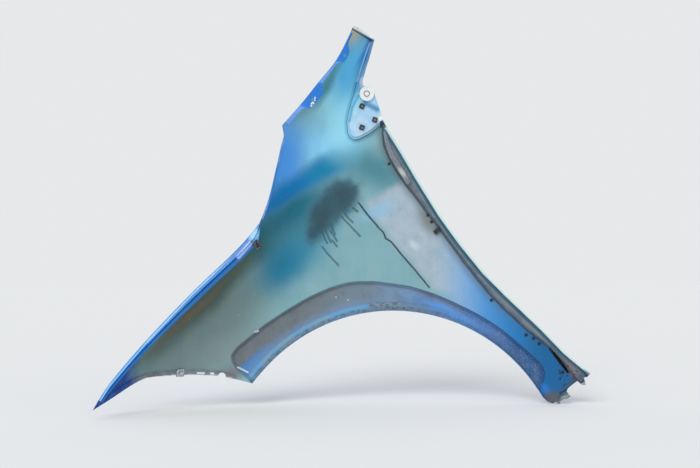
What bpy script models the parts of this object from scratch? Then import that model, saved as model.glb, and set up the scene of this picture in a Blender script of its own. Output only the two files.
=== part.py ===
"""Right front fender of a small hatchback, a used one, as its inner side shows it.

The fender is one steel pressing. It is modelled the way it is made: a flat blank is cut to
its outline with its holes, the blank is pressed to the crown of the car's side with the
flare, the trim recess and the door flange in it, and the free edges are folded over.
Axes as on the car: +X to the rear, +Y outboard, +Z up. Shapes are laid out from the wheel's
centre, and an empty moves them so that the origin lies on the upper rear bolting face.
"""

import math

import bmesh
import bpy
from mathutils import Matrix, Vector
from mathutils.geometry import delaunay_2d_cdt
from mathutils.kdtree import KDTree

# Overall sizes, from the wheel's centre. The shares of the outline's points follow these.
FENDER_LENGTH = 0.828
FENDER_HEIGHT = 0.820
SHEET = 0.0008
SEAT_GAP = 0.0003
OVERRUN = 0.004

# Spacing of the points inside the sheet and along its curved edges.
GRID = 0.018
EDGE_STEP = 0.012
EDGE_CLEARANCE = 0.0015
TURN_REACH_SHARE = 0.01
RIM_SIDES = 16
SHARP_ANGLE = math.radians(35)

# Wheel opening and the flare round it.
ARCH_RADIUS = 0.337
ARCH_FRONT_ANGLE = math.radians(104.8)
ARCH_REAR_ANGLE = math.radians(-8.4)
FLARE_DEPTH = 0.009
FLARE_WALL = 0.007
LIP_FRONT_WIDTH = 0.019
LIP_REAR_WIDTH = 0.0035
LIP_WIDE_ANGLE = math.radians(72.0)
LIP_NARROW_ANGLE = math.radians(14.0)
LIP_RISE = 0.009

# Crown of the pressing: how far its surface lies inboard of the belt line.
NOSE_INSET = 0.170
NOSE_START = 0.220
NOSE_RUN = 0.575
HOOD_ROLL = 0.075
HOOD_ROLL_BAND = 0.115
PILLAR_ROLL = 0.045
PILLAR_ROLL_BAND = 0.075
PILLAR_START = 0.150
PILLAR_RUN = 0.200
PILLAR_LEAN = 0.062
PILLAR_LEAN_START_SHARE = 0.7195
PILLAR_LEAN_RUN = 0.150
SILL_TUCK = 0.018
SILL_TUCK_START_SHARE = 0.305
SILL_TUCK_RUN = 0.320

# Recess for the mirror trim, with the bolting boss above it.
RECESS_FLOOR = -0.0135
RECESS_WALL = 0.006
RECESS_STEP = 0.008
RECESS_FLAT_TOP_SHARE = 0.7525
RECESS_BLEND = 0.020
BOSS_SHARES = (0.5266, 0.7610)
BOSS_RADIUS = 0.0140
BOSS_WALL = 0.0025
BOSS_RISE = 0.0055
BOSS_HOLE_RADIUS = 0.0045

# Door flange, with a groove and a round bead along its outer edge.
DOOR_FLANGE_RISE = 0.006
DOOR_FLANGE_WALL = 0.004
DOOR_BEAD = 0.0030
DOOR_BEAD_RISE = 0.0050
DOOR_BEAD_DROP = 0.0015
DOOR_GROOVE = 0.0060
DOOR_GROOVE_RISE = 0.0020
DOOR_GROOVE_WIDTH = 0.0090
STRIP_BEND = 0.007
STRIP_BEND_START = 0.000
STRIP_BEND_RUN = 0.075
WEDGE_DEPTH = 0.0040
WEDGE_WALL = 0.0018

# Bumper flange.
BUMPER_FLANGE = 0.0095
BUMPER_FLANGE_WALL = 0.0025
BUMPER_FLANGE_RISE = 0.003
BITE_RADIUS = 0.0075
BITE_SHARE = 0.075
BITE_DEPTH = 0.030
SLOT_LENGTH = 0.0150
SLOT_WIDTH = 0.0026
SLOT_SHARE = 0.235
EYE_LENGTH = 0.0078
EYE_WIDTH = 0.0034
EYE_SHARE = 0.150
BUMPER_HOLES_INSET = 0.0036

# Small pin holes beside the door flange and in the foot.
PIN_HOLE_RADIUS = 0.0016
PIN_HOLE_SIDES = 8

# Crumpled foot of the skin behind the wheel.
CRUMPLE = 0.004
CRUMPLE_START = -0.064
CRUMPLE_RUN = 0.014
CRUMPLE_WAVE = 0.017

# Folded edges. A fold has a fixed width, a width that varies along the edge, and a rise inboard.
# Its step shares say how much of the three each of its steps has, its shares how the width varies.
HOOD_LEDGE_ROOT = 0.0020
HOOD_LEDGE_WIDTH = 0.0180
HOOD_LEDGE_RISE = 0.0095
HOOD_LEDGE_STEP_SHARES = ((0.50, 0.06, 0.37), (0.75, 0.39, 0.53), (1.0, 0.50, 0.26), (1.0, 1.0, 1.0))
HOOD_LEDGE_SHARES = ((0.035, 0.36), (0.25, 0.60), (0.55, 0.86), (0.945, 1.0), (0.972, 0.40), (1.0, 0.15))
COWL_HEM_ROOT = 0.0032
COWL_HEM_RISE = 0.0030
COWL_HEM_STEP_SHARES = ((0.25, 0.0, 0.73), (1.0, 0.0, 1.0))
COWL_HEM_SHARES = ((0.03, 1.0), (0.90, 1.0))
PILLAR_FOLD_ROOT = 0.0008
PILLAR_FOLD_WIDTH = 0.0200
PILLAR_FOLD_RISE = 0.0050
PILLAR_FOLD_STEP_SHARES = ((1.0, 0.0, 0.64), (1.0, 1.0, 1.0))
PILLAR_FOLD_SHARES = (
    (0.03, 0.38), (0.22, 0.36), (0.25, 0.95), (0.42, 1.00), (0.47, 0.30),
    (0.68, 0.20), (0.72, 0.72), (0.80, 0.72), (0.85, 0.18), (0.96, 0.15),
)
TOP_FOLD_ROOT = 0.0052
TOP_FOLD_RISE = 0.0050
TOP_FOLD_STEP_SHARES = ((0.12, 0.0, 0.60), (1.0, 0.0, 1.0))
TOP_FOLD_SHARES = ((0.10, 1.0), (0.96, 1.0))
ARCH_HEM_ROOT = 0.0008
ARCH_HEM_RISE = 0.0026
ARCH_HEM_STEP_SHARES = ((1.0, 0.0, 1.0),)
ARCH_HEM_SHARES = ((0.02, 1.0), (0.97, 1.0))
PILLAR_TAB_SHARES = (0.325, 0.760)
PILLAR_TAB_INSET_SHARES = (0.58, 0.55)
PILLAR_TAB_HOLE_RADIUS = 0.0032

# Pieces fixed to the fender.
GROMMET_SIZE = 0.0098
GROMMET_THICKNESS = 0.0030
GROMMET_STEM = 0.0060
GROMMET_EYE = 0.0044
GROMMET_EYE_DEPTH = 0.0020
GROMMET_CORNER = 0.0014
GROMMET_SHARES = ((0.4995, 0.7452), (0.5030, 0.7010), (0.4680, 0.7060))
GROMMET_TURNS = (math.radians(28), math.radians(34), math.radians(30))
PAD_WIDTH = 0.0100
PAD_THICKNESS = 0.0045
PAD_WIDTH_SHARES = ((0.0, 0.45), (0.25, 0.75), (0.5, 1.0))
PAD_TIP_SIDES = 6
BUFFER_LENGTH = 0.0125
BUFFER_WIDTH = 0.0085
BUFFER_HEIGHT = 0.0060
BUFFER_Z_SHARE = 0.4024
BUFFER_ROUNDING = 0.0012
CLIP_SHEET = 0.0008
CLIP_GAP = 0.00060
CLIP_SIDES = 12
NUT_CLIP_WIDTH = 0.0155
NUT_CLIP_LONG_LEG = 0.0105
NUT_CLIP_SHORT_LEG = 0.0062
NUT_CLIP_SHARE = 0.385
NUT_CLIP_LOOP = 0.0016
NUT_CLIP_BORE = 0.0016
NUT_CLIP_BARREL = 0.0026
NUT_CLIP_BARREL_HEIGHT = 0.0034
LEDGE_CLIP_WIDTH = 0.0135
LEDGE_CLIP_LEG = 0.0062
LEDGE_CLIP_LOOP = 0.0120
LEDGE_CLIP_SHARE = 0.922
LEDGE_CLIP_BORE = 0.0021
LEDGE_CLIP_BARREL = 0.0034
LEDGE_CLIP_BARREL_HEIGHT = 0.0030


def from_shares(shares):
    """Turns shares of the length and height into points in the side view."""
    return [(x * FENDER_LENGTH, z * FENDER_HEIGHT) for x, z in shares]


HOOD_SHARES = (
    (-0.383, 0.578), (-0.327, 0.600), (-0.220, 0.625), (-0.075, 0.647), (0.072, 0.662), (0.144, 0.677),
)
COWL_SHARES = (
    (0.144, 0.677), (0.193, 0.707), (0.251, 0.752), (0.295, 0.788), (0.314, 0.803), (0.324, 0.821),
)
UPPER_SHARES = (
    (0.324, 0.821), (0.389, 0.833), (0.449, 0.846), (0.513, 0.860), (0.570, 0.883), (0.593, 0.895),
)
TOP_SHARES = ((0.593, 0.895), (0.604, 0.878), (0.617, 0.846))
ARM_SHARES = ((0.617, 0.846), (0.566, 0.811), (0.538, 0.791))
EAR_SHARES = (
    (0.538, 0.791), (0.532, 0.780), (0.541, 0.771), (0.5435, 0.759), (0.539, 0.745), (0.532, 0.725),
    (0.517, 0.684),
)
DOOR_SHARES = (
    (0.517, 0.684), (0.508, 0.607), (0.496, 0.524), (0.484, 0.426), (0.480, 0.343), (0.480, 0.256),
    (0.487, 0.182), (0.502, 0.061), (0.509, -0.013), (0.523, -0.088),
)
STRIP_END_SHARES = (
    (0.523, -0.088), (0.512, -0.088), (0.505, -0.084), (0.498, -0.100), (0.491, -0.096), (0.4885, -0.083),
    (0.4845, -0.083),
)
TAIL_SHARES = (
    (0.4845, -0.083), (0.460, -0.083), (0.454, -0.087), (0.454, -0.102), (0.443, -0.098),
    (0.430, -0.094), (0.423, -0.098), (0.419, -0.089), (0.411, -0.088), (0.404, -0.077),
)
BUMPER_SHARES = (
    (-0.134, 0.437), (-0.160, 0.468), (-0.206, 0.510), (-0.241, 0.539),
    (-0.270, 0.561), (-0.301, 0.569), (-0.343, 0.573), (-0.383, 0.578),
)
FLARE_SHARES = (
    (0.392, -0.053), (0.425, -0.036), (0.443, -0.021), (0.448, 0.000), (0.444, 0.034), (0.4345, 0.090),
    (0.4225, 0.140), (0.405, 0.190), (0.382, 0.240), (0.357, 0.287), (0.325, 0.336), (0.294, 0.371),
    (0.264, 0.402), (0.220, 0.436), (0.173, 0.457), (0.117, 0.472), (0.050, 0.482), (-0.0005, 0.4865),
    (-0.0375, 0.4865), (-0.080, 0.486), (-0.104, 0.4795), (-0.1125, 0.4645), (-0.114, 0.448),
    (-0.1105, 0.430), (-0.107, 0.403), (-0.102, 0.380),
)
RECESS_SHARES = (
    (0.606, 0.852), (0.574, 0.826), (0.540, 0.808), (0.501, 0.780), (0.472, 0.760), (0.450, 0.742),
    (0.435, 0.719), (0.431, 0.706), (0.435, 0.695), (0.446, 0.689), (0.473, 0.683), (0.500, 0.683),
    (0.514, 0.682),
)
DOOR_FLANGE_SHARES = (
    (0.509, 0.673), (0.499, 0.663), (0.483, 0.638), (0.4735, 0.606), (0.469, 0.574), (0.466, 0.537),
    (0.461, 0.383), (0.458, 0.291), (0.458, 0.210), (0.463, 0.155), (0.474, 0.080), (0.488, 0.019),
    (0.4905, -0.012), (0.4895, -0.036), (0.4873, -0.060), (0.4868, -0.083),
)
PAD_SHARES = (
    (0.504, 0.6655), (0.4915, 0.639), (0.482, 0.608), (0.4775, 0.573), (0.4725, 0.537),
)
PIN_SHARES = (
    (0.4595, 0.445), (0.4580, 0.427), (0.4645, 0.599), (0.4520, 0.191),
    (0.4635, 0.0755), (0.4720, 0.0590), (0.4750, 0.0400), (0.4745, -0.0465),
)
WEDGE_SHARES = (
    (0.488, 0.019), (0.4862, 0.002), (0.4838, -0.018), (0.4832, -0.036), (0.4850, -0.052), (0.4873, -0.060),
)
SKYLINE_SHARES = (
    (-0.510, 0.560), (-0.383, 0.578), (-0.220, 0.625), (-0.075, 0.647), (0.072, 0.662), (0.144, 0.677),
    (0.251, 0.752), (0.324, 0.821), (0.449, 0.846), (0.593, 0.895), (0.700, 0.920),
)


def smoothstep(t):
    """Eases from 0 to 1 as t goes from 0 to 1."""
    t = min(max(t, 0.0), 1.0)
    return t * t * (3 - 2 * t)


def table(rows, t):
    """Reads a table of pairs at t, with straight lines between its rows."""
    if t <= rows[0][0]:
        return rows[0][1]
    for (ta, a), (tb, b) in zip(rows, rows[1:]):
        if t <= tb:
            return blend(a, b, (t - ta) / (tb - ta))
    return rows[-1][1]


def blend(a, b, t):
    """The value a share t of the way from a to b."""
    return a + (b - a) * t


def length_of(points):
    """Length of a line of points."""
    return sum(math.dist(a, b) for a, b in zip(points, points[1:]))


def straight(points, step):
    """Points about one step apart along the straight lines through the given points."""
    out = []
    for a, b in zip(points, points[1:]):
        count = max(1, round(math.dist(a, b) / step))
        out += [(blend(a[0], b[0], i / count), blend(a[1], b[1], i / count)) for i in range(count)]
    return out + [points[-1]]


def spline(a, b, c, d, t):
    """The value a share t of the way from b to c on a smooth curve through the four values."""
    square_part = 2 * a - 5 * b + 4 * c - d
    cube_part = 3 * b - a - 3 * c + d
    return (2 * b + (c - a) * t + square_part * t ** 2 + cube_part * t ** 3) / 2


def curved(points, step):
    """Points about one step apart along a smooth curve through the given points."""
    ends = [points[0], *points, points[-1]]
    out = []
    for p0, p1, p2, p3 in zip(ends, ends[1:], ends[2:], ends[3:]):
        count = max(1, round(math.dist(p1, p2) / step))
        for i in range(count):
            t = i / count
            out.append(tuple(spline(a, b, c, d, t) for a, b, c, d in zip(p0, p1, p2, p3)))
    return out + [points[-1]]


def arc(radius_at, start, end, step):
    """Points round the wheel's centre from one angle to another, at the radius each angle has."""
    count = max(2, round(abs(end - start) * ARCH_RADIUS / step))
    angles = [blend(start, end, i / count) for i in range(count + 1)]
    return [(radius_at(a) * math.cos(a), radius_at(a) * math.sin(a)) for a in angles]


def circle(x, z, radius, sides):
    """Points round a circle."""
    turns = [2 * math.pi * i / sides for i in range(sides)]
    return [(x + radius * math.cos(a), z + radius * math.sin(a)) for a in turns]


def distance_to(path, x, z):
    """Distance of a point from a line of points."""
    best = math.inf
    for (ax, az), (bx, bz) in zip(path, path[1:]):
        dx, dz = bx - ax, bz - az
        t = ((x - ax) * dx + (z - az) * dz) / (dx * dx + dz * dz)
        t = min(max(t, 0.0), 1.0)
        best = min(best, math.hypot(x - ax - t * dx, z - az - t * dz))
    return best


def inside(loop, x, z):
    """Whether a point lies inside a closed loop of points."""
    hit = False
    for (ax, az), (bx, bz) in zip(loop, loop[1:] + loop[:1]):
        if (az > z) != (bz > z) and x < ax + (z - az) * (bx - ax) / (bz - az):
            hit = not hit
    return hit


def offset(path, amount):
    """A line of points moved sideways, to its right when amount is positive."""
    out = []
    for i, (x, z) in enumerate(path):
        ax, az = path[max(i - 1, 0)]
        bx, bz = path[min(i + 1, len(path) - 1)]
        run = math.hypot(bx - ax, bz - az)
        out.append((x + amount * (bz - az) / run, z - amount * (bx - ax) / run))
    return out


def beside(path, amount):
    """A line moved sideways, without the points that come too near to the line itself."""
    return [(x, z) for x, z in offset(path, amount) if distance_to(path, x, z) > 0.9 * abs(amount)]


def lip_width(angle):
    """Width in the side view of the lip round the opening, slanted at the front and steep at the rear."""
    share = (angle - LIP_NARROW_ANGLE) / (LIP_WIDE_ANGLE - LIP_NARROW_ANGLE)
    return blend(LIP_REAR_WIDTH, LIP_FRONT_WIDTH, smoothstep(share))


def run_points():
    """The blank's outline, run by run, from the nose over the top and back along the opening."""
    runs = {
        "hood": curved(from_shares(HOOD_SHARES), EDGE_STEP),
        "cowl": curved(from_shares(COWL_SHARES), EDGE_STEP),
        "upper": curved(from_shares(UPPER_SHARES), EDGE_STEP / 2),
        "top": curved(from_shares(TOP_SHARES), EDGE_STEP / 2),
        "arm": curved(from_shares(ARM_SHARES), EDGE_STEP),
        "ear": curved(from_shares(EAR_SHARES), EDGE_STEP / 2),
        "door": curved(from_shares(DOOR_SHARES), EDGE_STEP),
        "strip_end": from_shares(STRIP_END_SHARES),
        "tail": from_shares(TAIL_SHARES),
    }
    arch = arc(lambda angle: ARCH_RADIUS, ARCH_REAR_ANGLE, ARCH_FRONT_ANGLE, EDGE_STEP)
    runs["arch_start"] = straight([runs["tail"][-1], arch[0]], EDGE_STEP)
    runs["arch"] = arch
    bumper = from_shares(BUMPER_SHARES)
    runs["arch_end"] = straight([arch[-1], bumper[0]], EDGE_STEP)
    runs["bumper"] = curved(bumper, EDGE_STEP)
    return runs


RUNS = run_points()
BOSS_X, BOSS_Z = from_shares([BOSS_SHARES])[0]
OUTLINE = [point for run in RUNS.values() for point in run[:-1]]
SKYLINE = from_shares(SKYLINE_SHARES)
RECESS_EDGE = curved(from_shares(RECESS_SHARES), EDGE_STEP / 2)
RECESS_LOOP = RECESS_EDGE + [(FENDER_LENGTH, RECESS_EDGE[-1][1]), (FENDER_LENGTH, RECESS_EDGE[0][1])]
DOOR_FLANGE_EDGE = curved(from_shares(DOOR_FLANGE_SHARES), EDGE_STEP)
DOOR_FLANGE_LOOP = DOOR_FLANGE_EDGE + [
    (DOOR_FLANGE_EDGE[-1][0], -FENDER_HEIGHT),
    (FENDER_LENGTH, -FENDER_HEIGHT),
    (FENDER_LENGTH, FENDER_HEIGHT),
]
WEDGE_EDGE = curved(from_shares(WEDGE_SHARES), EDGE_STEP / 2)
WEDGE_LOOP = WEDGE_EDGE + [(FENDER_LENGTH, WEDGE_EDGE[-1][1]), (FENDER_LENGTH, WEDGE_EDGE[0][1])]
DOOR_EDGE_PROFILE = (
    (0.0, -DOOR_BEAD_DROP), (DOOR_BEAD, DOOR_BEAD_RISE),
    (DOOR_GROOVE, DOOR_GROOVE_RISE), (DOOR_GROOVE_WIDTH, DOOR_FLANGE_RISE),
)
FLARE_EDGE = curved(from_shares(FLARE_SHARES), EDGE_STEP / 2)
FLARE_LOOP = FLARE_EDGE + [(0.0, 0.0)]


def skyline(x):
    """Height of the hood and pillar edge above a point of the side view."""
    for (ax, az), (bx, bz) in zip(SKYLINE, SKYLINE[1:]):
        if x <= bx:
            return blend(az, bz, (x - ax) / (bx - ax))
    return SKYLINE[-1][1]


def crown(x, z):
    """How far outboard the plain pressed surface lies."""
    pillar = smoothstep((x - PILLAR_START) / PILLAR_RUN)
    band = blend(HOOD_ROLL_BAND, PILLAR_ROLL_BAND, pillar)
    nose = max(0.0, (NOSE_START - x) / NOSE_RUN)
    roll = max(0.0, 1 - (skyline(x) - z) / band)
    lean = max(0.0, (z - PILLAR_LEAN_START_SHARE * FENDER_HEIGHT) / PILLAR_LEAN_RUN)
    tuck = max(0.0, (SILL_TUCK_START_SHARE * FENDER_HEIGHT - z) / SILL_TUCK_RUN)
    inset = NOSE_INSET * nose ** 2 + PILLAR_LEAN * lean ** 2 + SILL_TUCK * tuck ** 2
    return -inset - blend(HOOD_ROLL, PILLAR_ROLL, pillar) * roll ** 2


def flare(x, z):
    """The flare round the wheel opening, pressed outboard, and the lip that turns back inboard."""
    height = 0.0
    if inside(FLARE_LOOP, x, z):
        height += FLARE_DEPTH * smoothstep(distance_to(FLARE_EDGE, x, z) / FLARE_WALL)
    lip = lip_width(math.atan2(z, x))
    out = math.hypot(x, z) - ARCH_RADIUS
    if out < lip:
        height -= LIP_RISE * (1 - max(out, 0.0) / lip)
    return height


def recess(x, z, surface):
    """The trim recess and the strip behind the pillar arm, both pressed inboard of the surface."""
    if not inside(RECESS_LOOP, x, z):
        return surface
    flat = 1 - smoothstep((z - RECESS_FLAT_TOP_SHARE * FENDER_HEIGHT) / RECESS_BLEND)
    floor = blend(surface - RECESS_STEP, RECESS_FLOOR, flat)
    to_boss = math.hypot(x - BOSS_X, z - BOSS_Z)
    if to_boss < BOSS_RADIUS + BOSS_WALL:
        face = RECESS_FLOOR - BOSS_RISE
        floor = blend(face, floor, smoothstep((to_boss - BOSS_RADIUS) / BOSS_WALL))
        if to_boss <= BOSS_RADIUS:
            return face
    return blend(surface, floor, smoothstep(distance_to(RECESS_EDGE, x, z) / RECESS_WALL))


def door_flange(x, z):
    """The flange along the door gap, raised inboard, with its groove and bead, and bent at its foot."""
    if not inside(DOOR_FLANGE_LOOP, x, z):
        return 0.0
    raised = smoothstep(distance_to(DOOR_FLANGE_EDGE, x, z) / DOOR_FLANGE_WALL)
    bend = STRIP_BEND * smoothstep((STRIP_BEND_START - z) / STRIP_BEND_RUN)
    return -raised * (table(DOOR_EDGE_PROFILE, distance_to(RUNS["door"], x, z)) + bend)


def wedge(x, z):
    """The narrow gap where the foot of the door flange has pulled away from the skin."""
    if inside(DOOR_FLANGE_LOOP, x, z) or not inside(WEDGE_LOOP, x, z):
        return 0.0
    to_edge = min(distance_to(WEDGE_EDGE, x, z), distance_to(DOOR_FLANGE_EDGE, x, z))
    return WEDGE_DEPTH * smoothstep(to_edge / WEDGE_WALL)


def crumple(x, z):
    """The creased foot of the skin behind the wheel."""
    if inside(DOOR_FLANGE_LOOP, x, z):
        return 0.0
    wave = 1 - math.cos(2 * math.pi * x / CRUMPLE_WAVE)
    beside_flange = smoothstep(distance_to(DOOR_FLANGE_EDGE, x, z) / DOOR_FLANGE_WALL)
    return -CRUMPLE * wave * beside_flange * smoothstep((CRUMPLE_START - z) / CRUMPLE_RUN)


def bumper_flange(x, z):
    """The narrow flange that the bumper's edge fastens to."""
    to_edge = distance_to(RUNS["bumper"], x, z)
    return -BUMPER_FLANGE_RISE * smoothstep((BUMPER_FLANGE - to_edge) / BUMPER_FLANGE_WALL)


def height(x, z):
    """How far outboard the pressed sheet's inner face lies at a point of the side view."""
    surface = crown(x, z) + flare(x, z) + bumper_flange(x, z)
    return recess(x, z, surface) + door_flange(x, z) + wedge(x, z) + crumple(x, z)


def along(path, share, inset=0.0):
    """The point a share of the way along a line, moved to its right, and the line's direction there."""
    left = share * length_of(path)
    for (ax, az), (bx, bz) in zip(path, path[1:]):
        run = math.dist((ax, az), (bx, bz))
        if left <= run or (bx, bz) == path[-1]:
            dx, dz = (bx - ax) / run, (bz - az) / run
            return ax + dx * left + inset * dz, az + dz * left - inset * dx, math.atan2(dz, dx)
        left -= run


def share_of(path, x, z):
    """How far along a line the nearest point to (x, z) lies, as a share of its length."""
    done = 0.0
    best = (math.inf, 0.0)
    for (ax, az), (bx, bz) in zip(path, path[1:]):
        dx, dz = bx - ax, bz - az
        run = math.hypot(dx, dz)
        t = min(max(((x - ax) * dx + (z - az) * dz) / run ** 2, 0.0), 1.0)
        best = min(best, (math.hypot(x - ax - t * dx, z - az - t * dz), done + t * run))
        done += run
    return best[1] / done


def crease_lines():
    """Lines of the pressing that the sheet's points follow."""
    boss = circle(BOSS_X, BOSS_Z, BOSS_RADIUS, RIM_SIDES)
    boss_foot = circle(BOSS_X, BOSS_Z, BOSS_RADIUS + BOSS_WALL, RIM_SIDES)
    wedge_floor = [point for point in beside(DOOR_FLANGE_EDGE, WEDGE_WALL) if inside(WEDGE_LOOP, *point)]
    return [
        FLARE_EDGE,
        beside(FLARE_EDGE, -FLARE_WALL),
        arc(lambda a: ARCH_RADIUS + lip_width(a), ARCH_REAR_ANGLE, ARCH_FRONT_ANGLE, EDGE_STEP),
        RECESS_EDGE,
        beside(RECESS_EDGE, -RECESS_WALL),
        boss + boss[:1],
        boss_foot + boss_foot[:1],
        DOOR_FLANGE_EDGE,
        beside(DOOR_FLANGE_EDGE, -DOOR_FLANGE_WALL),
        WEDGE_EDGE,
        beside(WEDGE_EDGE, -WEDGE_WALL),
        wedge_floor,
        beside(RUNS["door"], DOOR_BEAD),
        beside(RUNS["door"], DOOR_GROOVE),
        beside(RUNS["door"], DOOR_GROOVE_WIDTH),
        beside(RUNS["bumper"], BUMPER_FLANGE),
        beside(RUNS["bumper"], BUMPER_FLANGE - BUMPER_FLANGE_WALL),
    ]


def slot(x, z, turn, length, width):
    """A closed loop with round ends, turned to its direction."""
    half = (length - width) / 2
    out = []
    for i in range(RIM_SIDES):
        angle = 2 * math.pi * (i + 0.5) / RIM_SIDES
        px = width / 2 * math.cos(angle) + math.copysign(half, math.cos(angle))
        pz = width / 2 * math.sin(angle)
        out.append((
            x + px * math.cos(turn) - pz * math.sin(turn),
            z + px * math.sin(turn) + pz * math.cos(turn),
        ))
    return out


def square(x, z, turn, side):
    """The four corners of a square turned by an angle."""
    reach = side / math.sqrt(2)
    turns = [turn + math.pi * (2 * i + 1) / 4 for i in range(4)]
    return [(x + reach * math.cos(a), z + reach * math.sin(a)) for a in turns]


def skin_holes():
    """Closed loops of the holes in the pressed face."""
    holes = [circle(BOSS_X, BOSS_Z, BOSS_HOLE_RADIUS, RIM_SIDES)]
    for (x, z), turn in zip(from_shares(GROMMET_SHARES), GROMMET_TURNS):
        holes.append(square(x, z, turn, GROMMET_STEM + 2 * SEAT_GAP))
    holes.append(slot(*along(RUNS["bumper"], SLOT_SHARE, BUMPER_HOLES_INSET), SLOT_LENGTH, SLOT_WIDTH))
    holes.append(slot(*along(RUNS["bumper"], EYE_SHARE, BUMPER_HOLES_INSET), EYE_LENGTH, EYE_WIDTH))
    holes += [circle(x, z, PIN_HOLE_RADIUS, PIN_HOLE_SIDES) for x, z in from_shares(PIN_SHARES)]
    return holes


def blank_mesh():
    """The flat blank, cut into small faces, as points of the side view and triangles."""
    points = []
    edges = []
    loops = []

    def add_loop(path):
        loops.append(list(range(len(points), len(points) + len(path))))
        points.extend(path)

    def add_line(path):
        rim = OUTLINE + OUTLINE[:1]
        kept = [inside(OUTLINE, x, z) and distance_to(rim, x, z) > EDGE_CLEARANCE for x, z in path]
        index = {}
        for i, point in enumerate(path):
            if kept[i]:
                index[i] = len(points)
                points.append(point)
        edges.extend((index[i], index[i + 1]) for i in index if i + 1 in index)

    add_loop(OUTLINE[::-1])
    for hole in skin_holes():
        add_loop(hole)
    for line in crease_lines():
        add_line(line)
    tree = KDTree(len(points))
    for index, (x, z) in enumerate(points):
        tree.insert((x, z, 0), index)
    tree.balance()
    xs = [x for x, z in OUTLINE]
    zs = [z for x, z in OUTLINE]
    for row in range(int((max(zs) - min(zs)) / GRID)):
        for column in range(int((max(xs) - min(xs)) / GRID) + 1):
            x = min(xs) + (column + (row % 2) / 2) * GRID
            z = min(zs) + (row + 1) * GRID
            if tree.find((x, z, 0))[2] > GRID / 2 and inside(OUTLINE, x, z):
                points.append((x, z))
    flat = [Vector(point) for point in points]
    verts, _, faces, _, _, origins = delaunay_2d_cdt(flat, edges, loops, 1, SHEET / 100)
    return verts, [face for face, origin in zip(faces, origins) if origin == [0]]


def press_sheet():
    """The pressed sheet as one open surface, without its folded edges."""
    verts, faces = blank_mesh()
    bm = bmesh.new()
    made = [bm.verts.new((v.x, height(v.x, v.y), v.y)) for v in verts]
    for face in faces:
        bm.faces.new([made[i] for i in face])
    bmesh.ops.delete(bm, geom=[v for v in bm.verts if not v.link_faces], context="VERTS")
    bmesh.ops.recalc_face_normals(bm, faces=bm.faces)
    if sum(f.normal.y * f.calc_area() for f in bm.faces) > 0:
        bmesh.ops.reverse_faces(bm, faces=bm.faces)
    return bm


def fold_rows(root, width, rise, step_shares):
    """The steps of a fold, each as a fixed width, a width that varies along the edge, and a rise."""
    return [(a * root, b * width, c * rise) for a, b, c in step_shares]


HOOD_LEDGE = fold_rows(HOOD_LEDGE_ROOT, HOOD_LEDGE_WIDTH, HOOD_LEDGE_RISE, HOOD_LEDGE_STEP_SHARES)
COWL_HEM = fold_rows(COWL_HEM_ROOT, 0.0, COWL_HEM_RISE, COWL_HEM_STEP_SHARES)
PILLAR_FOLD = fold_rows(PILLAR_FOLD_ROOT, PILLAR_FOLD_WIDTH, PILLAR_FOLD_RISE, PILLAR_FOLD_STEP_SHARES)
TOP_FOLD = fold_rows(TOP_FOLD_ROOT, 0.0, TOP_FOLD_RISE, TOP_FOLD_STEP_SHARES)
ARCH_HEM = fold_rows(ARCH_HEM_ROOT, 0.0, ARCH_HEM_RISE, ARCH_HEM_STEP_SHARES)


def edge_turn(path, share):
    """Direction of a line a share of the way along it, taken over a short reach either way."""
    ahead = along(path, min(share + TURN_REACH_SHARE, 1.0))
    behind = along(path, max(share - TURN_REACH_SHARE, 0.0))
    return math.atan2(ahead[1] - behind[1], ahead[0] - behind[0])


def fold_step(x, z, turn, step, width):
    """Where a step of a fold lies, from the point of the edge that it grows from."""
    inward = step[0] + step[1] * width
    return Vector((x + inward * math.sin(turn), height(x, z) - step[2], z - inward * math.cos(turn)))


def fold_edge(bm, run, steps, width_shares):
    """Folds the free edge along one run of the outline over to the inboard side."""
    path = RUNS[run]
    places = {}
    for vert in bm.verts:
        x, z = vert.co.x, vert.co.z
        if vert.is_boundary and distance_to(path, x, z) < SEAT_GAP / 10:
            share = share_of(path, x, z)
            if width_shares[0][0] <= share <= width_shares[-1][0]:
                places[vert] = (x, z, edge_turn(path, share), table(width_shares, share))
    free = [e for e in bm.edges if e.is_boundary and all(v in places for v in e.verts)]
    for step in steps:
        grown = bmesh.ops.extrude_edge_only(bm, edges=free)["geom"]
        fresh = {g for g in grown if isinstance(g, bmesh.types.BMVert)}
        for vert in fresh:
            parent = next(e.other_vert(vert) for e in vert.link_edges if e.other_vert(vert) not in fresh)
            places[vert] = places[parent]
        for vert in fresh:
            x, z, turn, width = places[vert]
            vert.co = fold_step(x, z, turn, step, width)
        free = [g for g in grown if isinstance(g, bmesh.types.BMEdge) and all(v in fresh for v in g.verts)]


def folded_sheet():
    """The whole pressing as one open surface."""
    bm = press_sheet()
    fold_edge(bm, "hood", HOOD_LEDGE, HOOD_LEDGE_SHARES)
    fold_edge(bm, "cowl", COWL_HEM, COWL_HEM_SHARES)
    fold_edge(bm, "upper", PILLAR_FOLD, PILLAR_FOLD_SHARES)
    fold_edge(bm, "top", TOP_FOLD, TOP_FOLD_SHARES)
    fold_edge(bm, "arch", ARCH_HEM, ARCH_HEM_SHARES)
    return bm


def principled(name, colour, roughness, metallic):
    """A plain material."""
    material = bpy.data.materials.new(name)
    material.use_nodes = True
    shader = material.node_tree.nodes["Principled BSDF"]
    shader.inputs["Base Color"].default_value = (*colour, 1)
    shader.inputs["Roughness"].default_value = roughness
    shader.inputs["Metallic"].default_value = metallic
    return material


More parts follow.
